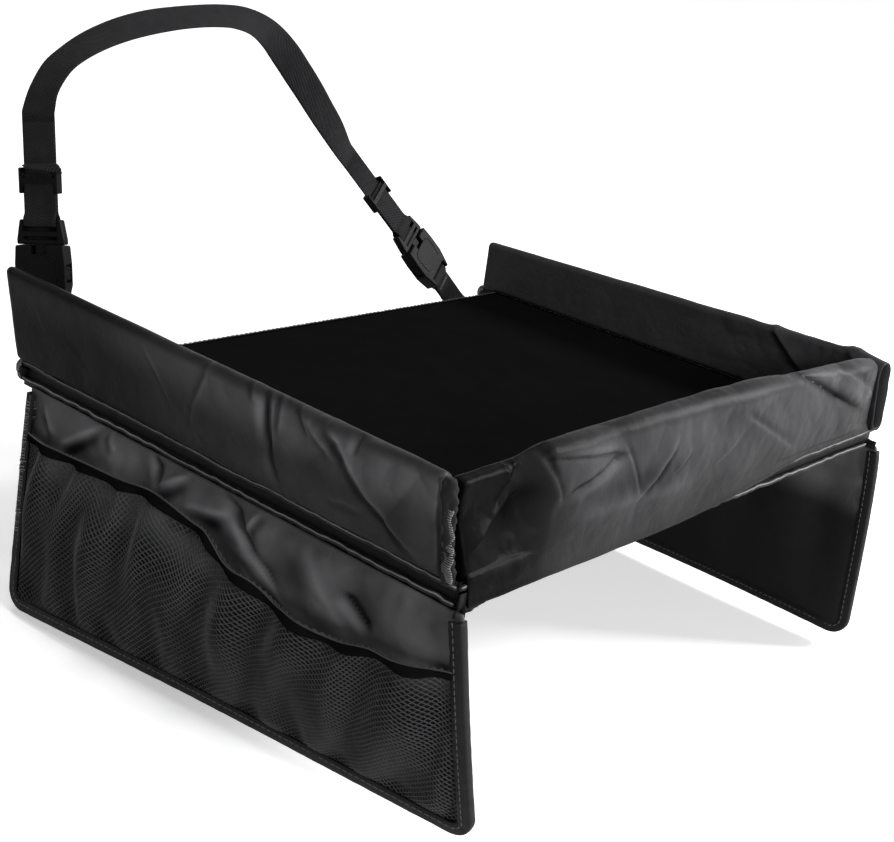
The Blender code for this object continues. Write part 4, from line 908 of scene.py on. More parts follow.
def flap_surface(flap, s, t, out=0):
    """Points at a distance outside the middle surface, and the way out there."""
    s, t = np.broadcast_arrays(np.asarray(s, float), np.asarray(t, float))
    step = 0.002
    down = (flap_middle(flap, s, np.minimum(t + step, 1))
            - flap_middle(flap, s, np.maximum(t - step, 0)))
    back = (flap_middle(flap, np.minimum(s + step, 1), t)
            - flap_middle(flap, np.maximum(s - step, 0), t))
    normal = unit(np.cross(down, back))
    normal *= np.sign(normal[..., :1]) * flap.side
    return flap_middle(flap, s, t) + normal * np.asarray(out)[..., None], normal


def corner_inset(t):
    """The share of its length by which each end draws in round the bottom corners."""
    start = 1 - corner_radius / flap_drop
    reach = np.clip((t - start) / (1 - start), 0, 1)
    return corner_radius / flap_length * (1 - np.sqrt(1 - reach ** 2))


def mouth_drop(s):
    """How far down the flap the pocket's mouth lies, as a share of the drop."""
    place = np.clip(s, 0, 1)
    places, drops = np.array(mouth_place_shares), np.array(mouth_drop_shares)
    k = np.clip(np.searchsorted(places, place) - 1, 0, len(places) - 2)
    share = ease((place - places[k]) / (places[k + 1] - places[k]))
    return drops[k] + (drops[k + 1] - drops[k]) * share


left_flap_creases = folds(
    (114.7, -24.2, 86.2, -4.4, 2.6, 2.2, 2), (76.8, -3.7, 70, -12, 1.9, 1.6, 2),
    (41.4, -3, 33.2, -18.6, -3.5, 1.6, 2.5), (32.9, -18, 13.7, -4.4, 3.2, 2.2, 2),
    (11.4, -18.6, -16.3, -13.2, 3.2, 2.4, 2), (-12.4, -3.5, -57.1, -36.4, -4.8, 1.7, 3),
    (-31.3, -15.9, -37.6, -4, 2.6, 1.8, 2), (-36.5, -22, -64.4, -44.1, 2.2, 2, 3),
    (-97.5, -19.8, -113.5, -33, -2.6, 2.2, 3), (135, -9, 118, -19, 2.2, 2.2, 2),
    (23, -26, -5, -23, 1.9, 2.2, 2), (-70, -8, -100, -42, 1.6, 5, 3))
right_flap_creases = folds(
    (110, -5, 85, -24, 2.6, 2.2, 2), (40, -3, 20, -26, -3.5, 1.8, 2.5),
    (-20, -4, 5, -22, 2.6, 2.2, 2), (-60, -6, -95, -30, 2.6, 2.6, 2))
left_flap = Flap("left", -1, 0.925, 1.02, 0.024, 0.005, 0.0090, 0.001, left_flap_creases, 90)
right_flap = Flap("right", 1, 1.0, 1.06, 0, 0.004, 0.0105, 0, right_flap_creases, 120)


def panel_relief(flap, s, t):
    """Gathers at the seam, bulges over the pocket's mouth and soft folds lower down."""
    along, rise = np.moveaxis(flap_middle(flap, s, t), -1, 0)[1:]
    upper = ease((mouth_drop(s) + 0.10 - t) / 0.12)
    gather = 0.0011 * noise_field(places_of(along, rise * 0.25), flap.seed, 0.008)
    gather = gather * np.exp(-((t - 0.05) / 0.07) ** 2)
    crumple = 0.0020 * crumple_field(places_of(along, rise * 1.4), flap.seed + 1, 0.050, 2)
    lower = 0.0010 * noise_field(places_of(along, rise * 0.3), flap.seed + 7, 0.05) - 0.0010
    edge = ease(np.minimum(s, 1 - s) / 0.03) * ease((1 - t) / 0.06)
    creases = crease_field(along, rise, flap.creases)
    return (gather + ((crumple + creases) * upper + lower * (1 - upper)) * edge) * ease(t / 0.05)


# Painted light and shade: the flaps' satin is a brighter copy of the plain satin, darkened as
# painted shade below the pocket mouth where the net shades the panel, with painted highlights and
# shade along its folds.
flap_satin = cloth_finish("flap_satin", (0.082, 0.082, 0.085), specular=0.04)
paint_fold_shading(paint_shade_towards(flap_satin, 2, -0.056, -0.034, 0.16), 0.95)


def build_panel(flap):
    grid_s, grid_t = np.meshgrid(np.linspace(0, 1, 196), np.linspace(0, 1, 80) ** 1.05)
    inset = corner_inset(grid_t)
    grid_s = inset + (1 - 2 * inset) * grid_s
    outer, normal = flap_surface(flap, grid_s, grid_t, flap_cloth / 2)
    outer = outer + normal * panel_relief(flap, grid_s, grid_t)[..., None]
    piece = two_faced(f"{flap.name}_flap_cloth", outer, outer - normal * flap_cloth,
                      np.stack([grid_s * flap_length, grid_t * flap_drop], -1))
    mark_folds(piece, 1, 0, flap.creases, 0, flap.side, 0.9, flap.seed + 3)
    finish_piece(piece, f"{flap.name}_flap", flap_satin)
    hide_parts(f"{flap.name}_flap_panel")


seam_tape_top = 0.0004
seam_tape_low = -0.0050
seam_tape_inset = 0.0013
seam_tape_cloth = 0.00025
seam_tape_end = 0.010


def build_seam_tape(flap):
    """The strip of cloth that joins the panel to the base behind the lower cord."""
    s, height = np.meshgrid(np.linspace(0, 1, 120), np.linspace(seam_tape_top, seam_tape_low, 5))
    along = flap_middle(flap, s, s * 0)[..., 1] + seam_tape_end * ease((s - 0.93) / 0.07)
    outer = places_of(flap.side * (piping_out - seam_tape_inset), along, height)
    inner = outer - np.array((flap.side * seam_tape_cloth, 0, 0))
    tape = two_faced(f"{flap.name}_seam_tape", outer, inner,
                     np.stack([s * flap_length, height], -1))
    tape.data.materials.append(band_cloth)
    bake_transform(tape)


for flap in (left_flap, right_flap):
    build_panel(flap)
    build_seam_tape(flap)


# The mesh pockets: knitted net in small diamond cells, sewn to the panel round three sides and
# held at the mouth by a dark elastic tape with a fine light edge.

net_cell_across = 0.0036
net_cell_down = 0.0031
net_cord = 0.00078
net_thickness = 0.001
pocket_depth = 0.0105
pocket_drop_share = 0.78
hem_width = 0.006
elastic_width = 0.0050
knitted_net = grainy_finish(("knitted_net", (0.062, 0.062, 0.065), 0.5, 0.15, 0.35, 160), 0.00015,
                            "Noise", Scale=1500.0, Detail=2.0)


def net_places(flap, across, depth):
    """The pocket's surface: across from front to rear and depth from mouth to bottom, 0 to 1."""
    border = hem_width + 0.001
    side_border, low_border = border / flap_length, border / flap_drop
    s = side_border / 2 + (1 - side_border) * across
    t = mouth_drop(s) + (1 - low_border / 2 - mouth_drop(s)) * depth
    mouth = 0.62 + 0.38 * np.sin(math.pi * np.minimum(depth, 0.5))
    swell = (1 - abs(2 * across - 1) ** 6) * (1 - depth ** 3) * mouth
    inset = corner_inset(t)
    s = inset + (1 - 2 * inset) * s
    rough = flap_middle(flap, s, t)
    folds = 0.0021 * np.sin(rough[..., 1] * 190 + rough[..., 2] * 70
                            + 2.2 * noise_field(rough, flap.seed + 3, 0.05))
    folds = folds + 0.0016 * noise_field(rough * np.array((0, 1, 0.45)), flap.seed + 4, 0.02)
    stand = flap_cloth / 2 + 2 * gap + pocket_depth * swell
    calm = ease(np.minimum(across, 1 - across) / 0.04) * ease((1 - depth) / 0.12)
    return s, t, stand + folds * calm * ease(depth / 0.06 + 0.2)


def build_net(flap):
    columns = int(flap_length / net_cell_across) * 2
    rows = int(flap_drop * pocket_drop_share / net_cell_down) * 2
    across, depth = np.meshgrid(np.linspace(0, 1, columns + 1), np.linspace(0, 1, rows + 1))
    points = flap_surface(flap, *net_places(flap, across, depth))[0]
    width = columns + 1
    corners = [row * width + k for row in range(1, rows) for k in range(1 + row % 2, columns, 2)]
    piece = new_piece(f"{flap.name}_net", points,
                      [(k - width, k + 1, k + width, k - 1) for k in corners])
    loose = bmesh.new()
    loose.from_mesh(piece.data)
    bmesh.ops.delete(loose, geom=[v for v in loose.verts if not v.link_faces], context="VERTS")
    loose.to_mesh(piece.data)
    loose.free()
    cords = piece.modifiers.new("cords", "WIREFRAME")
    cords.thickness = net_cord
    cords.use_even_offset = False
    cords.use_boundary = True
    finish_piece(piece, f"{flap.name}_flap", knitted_net)
    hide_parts(f"{flap.name}_pocket_net")


for flap in (left_flap, right_flap):
    build_net(flap)


def smooth_tube(name, points, radius, ring=6):
    """A round thread or tape roll along a list of points, with closed ends."""
    points = np.asarray(points, float)
    run = unit(np.gradient(points, axis=0))
    side = unit(np.cross(run, (0.3, 0.2, 0.93)))
    turn = turns_of(ring)[:, None]
    return cover_skin(name, points[:, None] + radius * (
        side[:, None] * np.cos(turn) + np.cross(side, run)[:, None] * np.sin(turn)))


def overlock(name, body, route, ways_in, ways_out, depth, height, pitch, radius):
    """Overlock thread wound round an edge: depth in from the edge, height across it."""
    length = np.concatenate([[0], np.cumsum(np.linalg.norm(np.diff(route, axis=0), axis=1))])
    turns = max(int(length[-1] / pitch), 2)
    marks = np.linspace(0, length[-1], turns * 12)
    places, inward, outward = (interpolated(marks, length, rows)
                               for rows in np.broadcast_arrays(route, ways_in, ways_out))
    uneven = 1 + 0.5 * noise_field(places, 44, 0.0026)
    angle = np.linspace(0, 2 * math.pi * turns, turns * 12) + 1.3 * noise_field(places, 46, 0.0045)
    points = (places + inward * (depth * (1 - np.cos(angle)) * 0.5 * uneven)[:, None]
              + outward * (height * np.sin(angle) * uneven)[:, None])
    finish_piece(smooth_tube(name, points, radius), body, overlock_thread)


def build_elastic(flap):
    grid_across, grid_width = np.meshgrid(np.linspace(0.004, 0.996, 170), np.linspace(0, 1, 7))
    depth = grid_width * elastic_width / flap_drop / (1 - mouth_drop(grid_across))
    s, t, stand = net_places(flap, grid_across, depth)
    ripples = 0.00035 * noise_field(places_of(grid_across * flap_length, 0.0, depth),
                                    flap.seed + 11, 0.0035)
    rim = 1 - 0.55 * abs(2 * grid_width - 1) ** 6
    stand = stand + net_thickness * 0.6 + gap
    tape = two_faced(f"{flap.name}_mouth_elastic",
                     flap_surface(flap, s, t, stand + 0.0012 * rim + ripples)[0],
                     flap_surface(flap, s, t, stand)[0],
                     np.stack([grid_across * flap_length, grid_width * elastic_width], -1))
    finish_piece(tape, f"{flap.name}_flap", elastic_cloth)
    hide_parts(f"{flap.name}_pocket_elastic")
    edge = flap_surface(flap, s[0], t[0], stand[0] + 0.0007)[0]
    cord = smooth_tube(f"{flap.name}_mouth_edge", edge, 0.00042)
    finish_piece(cord, f"{flap.name}_flap", edge_thread)


elastic_cloth = cloth_finish("elastic_tape", (0.0055, 0.0055, 0.0060), specular=0.0,
                             roughness=0.6, thread=0.0009, thread_depth=0.00012,
                             crease_depth=0.0002)
edge_thread = thread_finish("edge_thread", (0.011, 0.011, 0.012))
for flap in (left_flap, right_flap):
    build_elastic(flap)


# The hems: black cloth tape folded over the edges of panel and net, sewn through; the left
# flap's rear edge is bound with paler overlock thread at its top.

hem_cloth = 0.0008
hem_start = 0.0030
binding_cloth = cloth_finish("hem_tape", (0.0050, 0.0050, 0.0055), specular=0.14,
                             roughness=0.5, thread_depth=0.00005)
overlock_thread = thread_finish("overlock_thread", (0.14, 0.14, 0.144))


def hem_route(flap, step):
    """Places s, t down the front edge, along the bottom and up the rear edge."""
    start = 1 - corner_radius / flap_drop
    down = np.linspace(hem_start / flap_drop, start, int(flap_drop / step))
    turn = np.radians(np.linspace(0, 90, 12)[1:])
    round_t = start + (1 - start) * np.sin(turn)
    bottom_s = np.linspace(corner_inset(1), 1 - corner_inset(1), int(flap_length / step))[1:-1]
    s = np.concatenate([down * 0, corner_inset(round_t), bottom_s, 1 - corner_inset(round_t)[::-1],
                        down * 0 + 1])
    t = np.concatenate([down, round_t, bottom_s * 0 + 1, round_t[::-1], down[::-1]])
    return s, t


def build_hem(flap):
    s, t = hem_route(flap, 0.002)
    places, normal = flap_surface(flap, s, t)
    inward = unit(np.cross(np.gradient(places, axis=0), normal))
    middle = flap_surface(flap, 0.5, 0.5)[0]
    inward *= np.sign(((middle - places) * inward).sum(1))[:, None]
    inner_low = -flap_cloth / 2 - gap
    inner_high = flap_cloth / 2 + net_thickness + 3 * gap
    low, high = inner_low - hem_cloth, inner_high + hem_cloth
    centre, reach = (low + high) / 2, (high - low) / 2
    fold = [(-gap - hem_cloth + 0.0008 * (1 - math.cos(angle)), centre + reach * math.sin(angle))
            for angle in np.radians((-80, -60, -35, 0, 35, 60, 80))]
    into, out = np.array([
        (hem_width, low), (hem_width * 0.6, low - 0.0002), (0.0012, low), *fold, (0.0012, high),
        (hem_width * 0.6, high + 0.0002), (hem_width, high), (hem_width + 0.0002, inner_high),
        (gap, inner_high), (gap, inner_low), (hem_width + 0.0002, inner_low)]).T
    uneven = noise_field(places_of(s * flap_length, t * flap_drop), flap.seed + 17, 0.0055)[:, None]
    wavy = np.where(into > 0.0005, 0.00035, 0.0002) * uneven
    sides = np.sign(out - centre) * wavy * (into > -0.001)
    points = (places[:, None] + inward[:, None] * (into * (1 + 0.06 * uneven))[..., None]
              + normal[:, None] * (out + sides)[..., None])
    tape = cover_skin(f"{flap.name}_hem_tape", points)
    finish_piece(tape, f"{flap.name}_flap", binding_cloth)
    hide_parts(f"{flap.name}_flap_hem")
    for label, level, way in (("outer", high + 0.0002, 1), ("inner", low - 0.0002, -1)):
        line = places + inward * hem_width * 0.62 + normal * level
        row = stitch_row(f"{flap.name}_hem_{label}_stitches", line, (way * flap.side, 0, 0))
        finish_piece(row, f"{flap.name}_flap", sewing_thread)
    if flap is left_flap:
        rear = slice(len(s) - 46, len(s) - 2)
        overlock("left_rear_overlock", "left_flap", places[rear] - inward[rear] * 0.0012,
                 inward[rear], normal[rear], depth=0.0058, height=high + 0.0006, pitch=0.0016,
                 radius=0.00036)


for flap in (left_flap, right_flap):
    build_hem(flap)


# The left corner, where the two covers meet: raw edges rolled together and overlocked, and at
# the rear ends of the side bands a rounded lip bound the same way.

rolled_cloth = cloth_finish("rolled_edge", (0.013, 0.013, 0.0135), specular=0.06,
                            roughness=0.55, thread=0.0005, thread_depth=0.0001,
                            crease_depth=0.0010)


def build_corner():
    centre_y = -half_depth + 0.0062 - gap
    z = np.linspace(wall_foot + 0.0003, 0.0598, 60)[:, None]
    from_end = np.minimum(np.arange(60), np.arange(60)[::-1])[:, None]
    radius = 0.0036 * (0.78 + 0.22 * np.minimum(from_end / 4, 1))
    angle = turns_of(22)
    ragged = 0.0012 * noise_field(places_of(np.cos(angle) * 0.004, np.sin(angle) * 0.004, z), 61,
                                  0.0030)
    reach = radius * (0.80 + 0.14 * np.cos(2 * angle + z * 160)) + ragged
    roll = new_piece("left_corner_roll",
                     places_of(-half_width - left_wall.lean * z + np.cos(angle) * reach,
                               centre_y + np.sin(angle) * reach, z), tube_faces(*reach.shape))
    finish_piece(roll, "tray", rolled_cloth)
    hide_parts("left_corner_binding")
    z = z[1:44, 0]
    sway = 0.0011 * noise_field(places_of(z, 0.0), 71, 0.004)
    route = places_of(-half_width - left_wall.lean * z - 0.0022 + sway, centre_y - 0.0004, z)
    overlock("left_corner_overlock", "tray", route, (0.72, 0.0, 0.0), (0.25, 1.0, 0.0),
             depth=0.0026, height=0.0030, pitch=0.0011, radius=0.00026)


build_corner()


def build_corner_tuck():
    """The small loose end of the skirt that hangs where it meets the left flap."""
    across, level = np.meshgrid(np.linspace(0, 1, 30), np.linspace(0, 1, 12))
    low = -0.0060 + 0.0050 * across ** 1.5
    x = -half_width - 0.0004 + 0.026 * across
    z = 0.0060 + (low - 0.0060) * level
    crumple = 0.0009 * crumple_field(places_of(x, z), 88, 0.011)
    bulge = (0.0018 * (1 - across) * level + crumple) * ease((-0.0005 - z) / 0.003)
    y = -half_depth - 0.0008 + bulge
    tuck = two_faced("left_corner_tuck", places_of(x, y, z), places_of(x, y + 0.0006, z),
                     np.stack([x, z], -1))
    finish_piece(tuck, "tray", rolled_cloth)


build_corner_tuck()


def build_lip(edge, side):
    """The padded round end of a side band, from the upper cord to the lower one."""
    low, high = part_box(f"{edge}_edge_band")
    centre_z, reach = (low.z + high.z) / 2, (high.z - low.z) / 2 - 0.0006
    turn = np.linspace(-math.pi / 2, math.pi / 2, 26)
    face, core = (places_of(side * (piping_out - 0.0004), half_depth - back + np.cos(turn) * bulge,
                            centre_z + np.sin(turn) * reach * share)
                  for back, bulge, share in ((0.0022, 0.0040, 1), (0.0026, 0.0008, 0.6)))
    for name, line, radius in (("lip", face, 0.0020), ("lip_core", core, 0.0026)):
        roll = smooth_tube(f"{edge}_{name}", line, radius, 12)
        finish_piece(roll, "tray", rolled_cloth)
    ways_in = places_of(0.0, -np.cos(turn), -np.sin(turn))
    overlock(f"{edge}_lip_overlock", "tray", face - ways_in * 0.0021, ways_in, (1, 0, 0),
             depth=0.0040, height=0.0022, pitch=0.0012, radius=0.00032)


for edge, side in (("left", -1), ("right", 1)):
    build_lip(edge, side)


# The strap: black herringbone webbing. A tab sewn at each rear corner folds round its buckle's
# bar, each end turns round its plug's bar and runs up through a slider, and between them one
# free length arches up, twisting over at the top. The tabs' folds are sewn with crossed rows.

webbing_width = 0.020
webbing_thickness = 0.0011
half_stack = (webbing_thickness + gap) / 2
swing_y = 0.1453
swing_z = 0.00435
strap_span = 0.360
strap_rise = 0.190
strap_setoff = 0.016
tab_inset = 0.038
tab_lead = 0.0035
arch_lead = 0.005
flare_length = 0.004
socket_length = 0.034
plug_reach = 0.0140
bar_length = 0.0026
bar_half_thickness = 0.0016
fold_radius = 0.0009
slider_length = 0.014
slider_travel = 0.022
lean = math.radians(12)
plane_up = Vector((0, math.sin(lean), math.cos(lean)))
plane_back = Vector((0, math.cos(lean), -math.sin(lean)))
plane_foot = Vector((0, swing_y + strap_setoff, swing_z))
Buckle = namedtuple("Buckle", "name side shares turn tilt twist slider_place")
left_buckle = Buckle("left", -1, (-0.5, 0.1625, 0), -2.0, 0.0, -66.0, 0.069)
right_buckle = Buckle("right", 1, (0.4145, 0.0827, -0.005), 37.8, 9.8, 14.5, 0.078)
arch_place_shares = (
    (-0.4758, 0.7781, 0), (-0.4497, 0.8408, 0), (-0.4199, 0.8792, 0), (-0.3818, 0.9147, 0),
    (-0.3396, 0.9433, 0), (-0.2969, 0.9649, 0), (-0.2503, 0.9819, 0), (-0.2036, 0.9932, 0),
    (-0.1528, 1.0008, 0.0026), (-0.1012, 1.0021, 0.0079), (-0.0484, 0.9890, 0.0158),
    (-0.0008, 0.9512, 0.0237), (0.0397, 0.8934, 0.0342), (0.0728, 0.8345, 0.0447),
    (0.1078, 0.7694, 0.0553), (0.1419, 0.7011, 0.0658), (0.1781, 0.6335, 0.0789))
arch_twists = (73, 70, 67, 61, 56, 52, 50, 50, 48, 42, 26, 2, -18, -22, -19, -12, -4)
rib_pitch = 0.0017
rib_column = 0.020


def webbing_finish():
    made, tree, shader, place = start_finish("herringbone_webbing", (0.014, 0.014, 0.015), 0.55,
                                             0.03, 0.4, 130)
    split = add_node(tree, "ShaderNodeSeparateXYZ", [(0, place["UV"])]).outputs
    slanted = add_math(tree, "ADD", split[0], add_math(tree, "PINGPONG", split[1], rib_column))
    ribs = add_math(tree, "SINE", add_math(tree, "MULTIPLY", slanted, 2 * math.pi / rib_pitch))
    add_bump(tree, shader, add_noise(tree, place["Object"], 900.0, 3.0), 0.00015)
    add_bump(tree, shader, ribs, 0.00014)
    return scale_colour(made, add_node(tree, "ShaderNodeMapRange", [
        ("Value", ribs), ("From Min", -1.0), ("To Min", 0.45), ("To Max", 1.75)]))


black_webbing = webbing_finish()


def plane_point(x_share, rise_share, back_share):
    return (plane_foot + Vector((x_share * strap_span, 0, 0)) + plane_up * (rise_share * strap_rise)
            + plane_back * (back_share * strap_rise))


def buckle_frame(buckle):
    """Local x across the webbing, y along the buckle, z out of its front face."""
    turn, tilt = math.radians(buckle.turn), math.radians(buckle.tilt)
    across_level = Vector((1, 0, 0))
    along = plane_up * math.cos(turn) - across_level * math.sin(turn)
    along = along * math.cos(tilt) + plane_back * math.sin(tilt)
    across = across_level * math.cos(turn) + plane_up * math.sin(turn)
    across = Matrix.Rotation(math.radians(buckle.twist), 3, along) @ across
    placed = Matrix((across, along, across.cross(along))).transposed().to_4x4()
    placed.translation = plane_point(*buckle.shares)
    return placed


def axes_of(placed):
    """A placed frame's three axes and its place, as arrays."""
    return *np.array(placed.to_3x3()).T, np.array(placed.translation)


def webbing(name, points, widths):
    """A flat strap with rounded selvedges along points; widths are the unit ways across it."""
    steps = unit(np.diff(points, axis=0))
    after = np.concatenate([steps, steps[-1:]])
    run = unit(np.concatenate([steps[:1], steps]) + after)
    mitre = 1 / np.maximum((after * run).sum(1, keepdims=True), 0.5)
    up = unit(np.cross(run, widths)) * mitre
    place = np.linspace(-1, 1, 17)
    half = webbing_thickness / 2 * np.sqrt(1 - abs(place) ** 10 * 0.9)
    across = np.concatenate([place, place[::-1]])[:, None] * webbing_width / 2
    rise = np.concatenate([-half, half[::-1]])[:, None]
    return cover_skin(name, points[:, None] + widths[:, None] * across + up[:, None] * rise)


def folded_webbing(name, centres, widths, normals, spreads, short_leg):
    """One strap folded back on itself round a bar at the end of its centres."""
    apart = normals * spreads[:, None]
    widths = np.broadcast_to(widths, centres.shape)
    points = np.concatenate([centres - apart, (centres + apart)[::-1][:short_leg]])
    return webbing(name, points, np.concatenate([widths, widths[::-1][:short_leg]]))


def bar_turn():
    """The turn round a bar: distances past the bar's near face and half the spread there."""
    spread = bar_half_thickness + gap + webbing_thickness / 2
    past = bar_length + gap + webbing_thickness / 2
    flare = [(-flare_length + (flare_length - gap) * share,
              half_stack + (spread - half_stack) * ease(share)) for share in np.linspace(0, 1, 5)]
    corner = [(past - fold_radius * (1 - math.sin(angle)),
               spread - fold_radius * (1 - math.cos(angle)))
              for angle in np.radians((0, 25, 50, 70, 90))]
    return np.array(flare + corner).T


def crossed_stitches(name, placed, height, out, length, body):
    """A sewn box with a cross in it, on one face of a doubled strap."""
    half = webbing_width / 2 - 0.0025
    corners = [(-half, height), (half, height), (half, height - length), (-half, height - length),
               (-half, height)]
    facing = placed.to_3x3() @ Vector((0, 0, out))
    for label, spots in (("box", corners), ("cross", [corners[0], corners[2]]),
                         ("back", [corners[1], corners[3]])):
        route = [placed @ Vector((x, y, out)) for x, y in spots]
        row = stitch_row(f"{name}_{label}_stitches", route, facing, 0.00022, 0.0013, 0.0006)
        finish_piece(row, body, sewing_thread)


def build_tab(buckle, placed):
    bar_across, along, front, bar = axes_of(placed)
    foot = np.array((buckle.side * (half_width - tab_inset),
                     swing_y + swing_z + tab_lead - gap, swing_z))
    foot_across = np.array((1.0, 0, 0))
    neck = bar - along * flare_length * 2
    reach = np.linalg.norm(neck - foot) * 0.4
    knots = np.array([foot, foot + (0, reach, 0), neck - along * reach, neck])
    share = np.linspace(0, 1, 31)[:, None]
    rest = 1 - share
    weights = (rest ** 3, 3 * rest ** 2 * share, 3 * rest * share ** 2, share ** 3)
    points = sum(knot * weight for knot, weight in zip(knots, weights))
    run = sum(step * weight for step, weight in zip(
        np.diff(knots, axis=0), (rest ** 2, 2 * rest * share, share ** 2)))
    across = unit(foot_across + (bar_across - foot_across) * ease(share))
    past, spread = bar_turn()
    centres = np.concatenate([[foot - (0, tab_lead - gap, 0)], points,
                              bar + along * past[:, None]])
    widths = np.concatenate([[foot_across], across, [bar_across] * len(past)])
    normals = np.concatenate([[(0, 0, 1)], unit(np.cross(across, run)), [front] * len(past)])
    spreads = np.concatenate([[half_stack] * (len(points) + 1), spread])
    tab = folded_webbing(f"{buckle.name}_tab_webbing", centres, widths, normals, spreads,
                         len(centres))
    finish_piece(tab, "strap_loop", black_webbing)
    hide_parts(f"{buckle.name}_strap_tab")
    level = half_stack + webbing_thickness / 2 + 0.0001
    for label, out in (("front", level), ("rear", -level)):
        crossed_stitches(f"{buckle.name}_tab_{label}", placed, -0.0052, out, 0.0010,
                         "strap_loop")


def strap_end_height(buckle):
    return buckle.slider_place + slider_length / 2 + slider_travel + webbing_thickness * 2


def build_strap_end(buckle, placed):
    across, along, front, root = axes_of(placed)
    bar_far = socket_length + plug_reach
    past, spread = bar_turn()
    straight = [strap_end_height(buckle), *np.linspace(buckle.slider_place + slider_length / 4,
                                                       bar_far + 0.0065, 12)]
    heights = np.concatenate([straight, bar_far - past])[:, None]
    spreads = np.concatenate([[half_stack] * len(straight), spread])
    strap = folded_webbing(f"{buckle.name}_end_webbing", root + along * heights, across, front,
                           spreads, len(heights) - 1)
    finish_piece(strap, f"{buckle.name}_plug", black_webbing)
    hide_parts(f"{buckle.name}_strap_end")


def build_liner(buckle, placed):
    """The spare webbing that lies behind the left plug's ladder slots."""
    across, along, front, root = axes_of(placed)
    height, behind = np.array([(0.0349, 0.0034), (0.038, 0.00324), (0.042, 0.00292),
                               (0.046, 0.0026)]).T[..., None]
    points = root + along * height - across * 0.0015 - front * behind
    liner = webbing(f"{buckle.name}_plug_liner", points, np.broadcast_to(across, points.shape))
    finish_piece(liner, f"{buckle.name}_plug", black_webbing)


def smooth_route(points, steps):
    """A smooth curve through every point, with the given steps between each two."""
    points = np.array(points, float)
    padded = np.concatenate([[points[0] * 2 - points[1]], points, [points[-1] * 2 - points[-2]]])
    before, start, end, after = (padded[k:len(padded) - 3 + k, None] for k in range(4))
    u = (np.arange(steps) / steps)[:, None]
    route = (start * 2 + (end - before) * u + (before * 2 - start * 5 + end * 4 - after) * u ** 2
             + (start * 3 - before - end * 3 + after) * u ** 3) / 2
    return np.concatenate([route.reshape(-1, points.shape[1]), points[-1:]])


def build_tail(buckle, placed):
    """The strap's cut end, standing out in front of the left slider, longer on one side."""
    tail_length = 0.012
    route = smooth_route([(0, 0.06), (0.10, 0.30), (0.06, 0.62), (-0.10, 0.86), (-0.30, 1.0)], 5)
    run = unit(np.gradient(route, axis=0))
    across = np.linspace(0, 1, 15)
    reach = tail_length * (0.30 + 0.70 * across)
    up, out = route[:, :1], route[:, 1:]
    edge = webbing_thickness / 2 * np.sqrt(1 - abs(2 * across - 1) ** 10 * 0.9)
    x = (across - 0.5) * webbing_width + reach * out
    y = buckle.slider_place + slider_length / 2 + gap + webbing_thickness / 2 + reach * up
    z = half_stack + webbing_thickness + gap + reach * out
    faces = [places_of(x, y + side * edge * run[:, 1:], z - side * edge * run[:, :1])
             @ np.array(placed.to_3x3()).T + np.array(placed.translation) for side in (1, -1)]
    flat = np.stack(np.broadcast_arrays(tail_length * out, webbing_width * across), -1)
    tail = two_faced("left_tail_webbing", *faces, flat)
    finish_piece(tail, "left_slider_body", black_webbing)
    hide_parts("left_strap_tail")


def build_arch(left_place, right_place):
    """The free webbing between the two strap ends, leaning and twisting as it hangs."""
    ends = []
    for buckle, placed in ((left_buckle, left_place), (right_buckle, right_place)):
        along, front, root = axes_of(placed)[1:]
        start = root + along * strap_end_height(buckle) - front * half_stack
        ends.append((start, start + along * (arch_lead + gap)))
    points = [ends[0][1], *(plane_point(*shares) for shares in arch_place_shares), ends[1][1]]
    route = np.concatenate([[ends[0][0]], smooth_route(points, 9), [ends[1][0]]])
    twists = (-left_buckle.twist, *arch_twists, right_buckle.twist)
    turns = np.radians(smooth_route([(twist,) for twist in twists], 9))
    turns = np.concatenate([turns[:1], turns, turns[-1:]])
    run = unit(np.concatenate([route[1:2] - route[:1], route[2:] - route[:-2],
                               route[-1:] - route[-2:-1]]))
    back = np.array(plane_back)
    widths = unit(np.cross(run, back)) * np.cos(turns) + back * np.sin(turns)
    widths = unit(widths - run * (widths * run).sum(1, keepdims=True))
    arch = webbing("arch_webbing", route, widths)
    finish_piece(arch, "strap_loop", black_webbing)
    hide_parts("strap_arch")


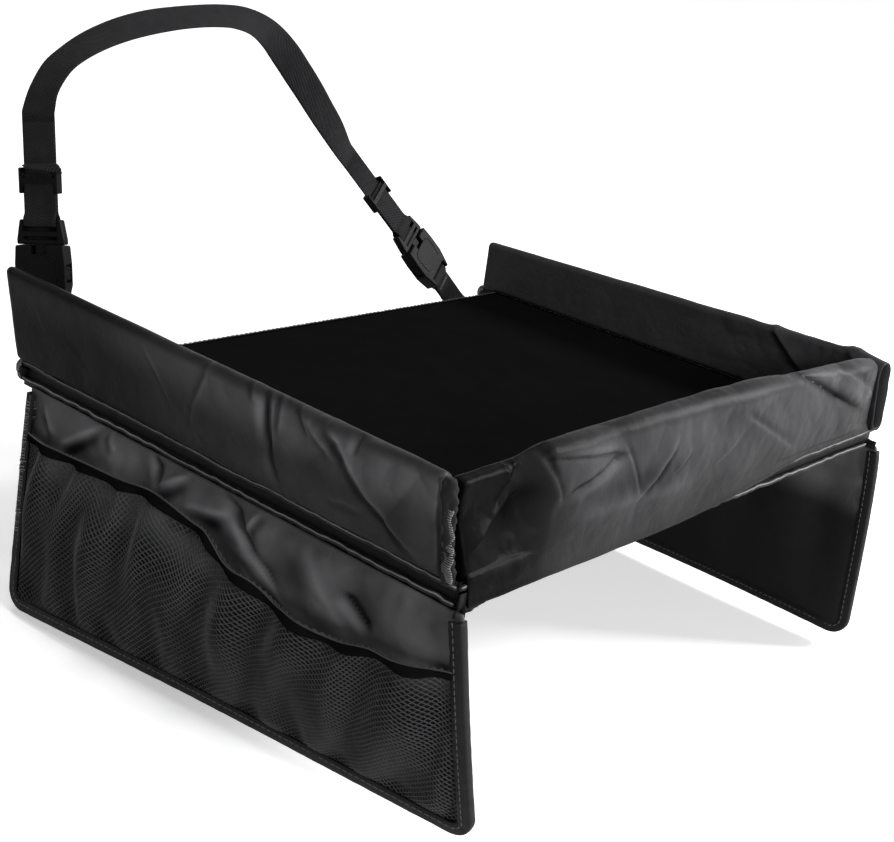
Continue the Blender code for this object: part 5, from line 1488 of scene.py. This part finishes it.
left_place, right_place = buckle_frame(left_buckle), buckle_frame(right_buckle)
for buckle, placed in ((left_buckle, left_place), (right_buckle, right_place)):
    build_tab(buckle, placed)
    build_strap_end(buckle, placed)
build_liner(left_buckle, left_place)
build_tail(left_buckle, left_place)
build_arch(left_place, right_place)


# The buckles and sliders: injection-moulded acetal with a fine spark-eroded grain, kept as the
# CAD has them, with moulded grip ribs on the latches' pads and a raised line on the sockets.


def moulded_finish():
    made, tree, shader, place = start_finish("moulded_acetal", (0.0042, 0.0042, 0.0045), 0.36,
                                             0.05, 0.18, 260)
    vary_gloss(tree, shader, add_noise(tree, place["Object"], 180.0, 4.0), 0.26, 0.48)
    add_bump(tree, shader, add_noise(tree, place["Object"], 3200.0, 2.0), 0.00005)
    return made


moulded_acetal = moulded_finish()
latch_reach = 0.0151
grip_radius = 0.00042
line_radius = 0.00035
socket_half_thickness = 0.0045


def raised_line(name, placed, spots, steps, radius, body):
    """A moulded rib along a smooth line on a buckle."""
    route = [placed @ Vector(spot) for spot in smooth_route(spots, steps)]
    finish_piece(smooth_tube(name, route, radius), body, moulded_acetal)


def build_grips(buckle, placed):
    """Three moulded ribs down each latch pad, and a raised frame line on the socket's faces."""
    zigzag = ((0.0166, -1), (0.0166, 1), (0.0190, 1), (0.0190, -1), (0.0214, -1), (0.0214, 1))
    outline = ((-0.0095, 0.0120), (-0.0108, 0.0200), (-0.0095, 0.0275), (0, 0.0290),
               (0.0095, 0.0275), (0.0108, 0.0200), (0.0095, 0.0120))
    for latch, side in (("a", -1), ("b", 1)):
        raised_line(f"{buckle.name}_latch_{latch}_grip", placed,
                    [(side * latch_reach, y, way * 0.0018) for y, way in zigzag], 4, grip_radius,
                    f"{buckle.name}_latch_{latch}")
    for label, out in (("front", socket_half_thickness), ("rear", -socket_half_thickness)):
        raised_line(f"{buckle.name}_socket_{label}_line", placed,
                    [(*spot, out) for spot in outline], 5, line_radius, "strap_loop")


for buckle, placed in ((left_buckle, left_place), (right_buckle, right_place)):
    for node in ("buckle_socket", "buckle_plug", "buckle_latch_a", "buckle_latch_b", "slider"):
        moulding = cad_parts[f"{buckle.name}_{node}"]
        moulding.data.materials.clear()
        moulding.data.materials.append(moulded_acetal)
    build_grips(buckle, placed)
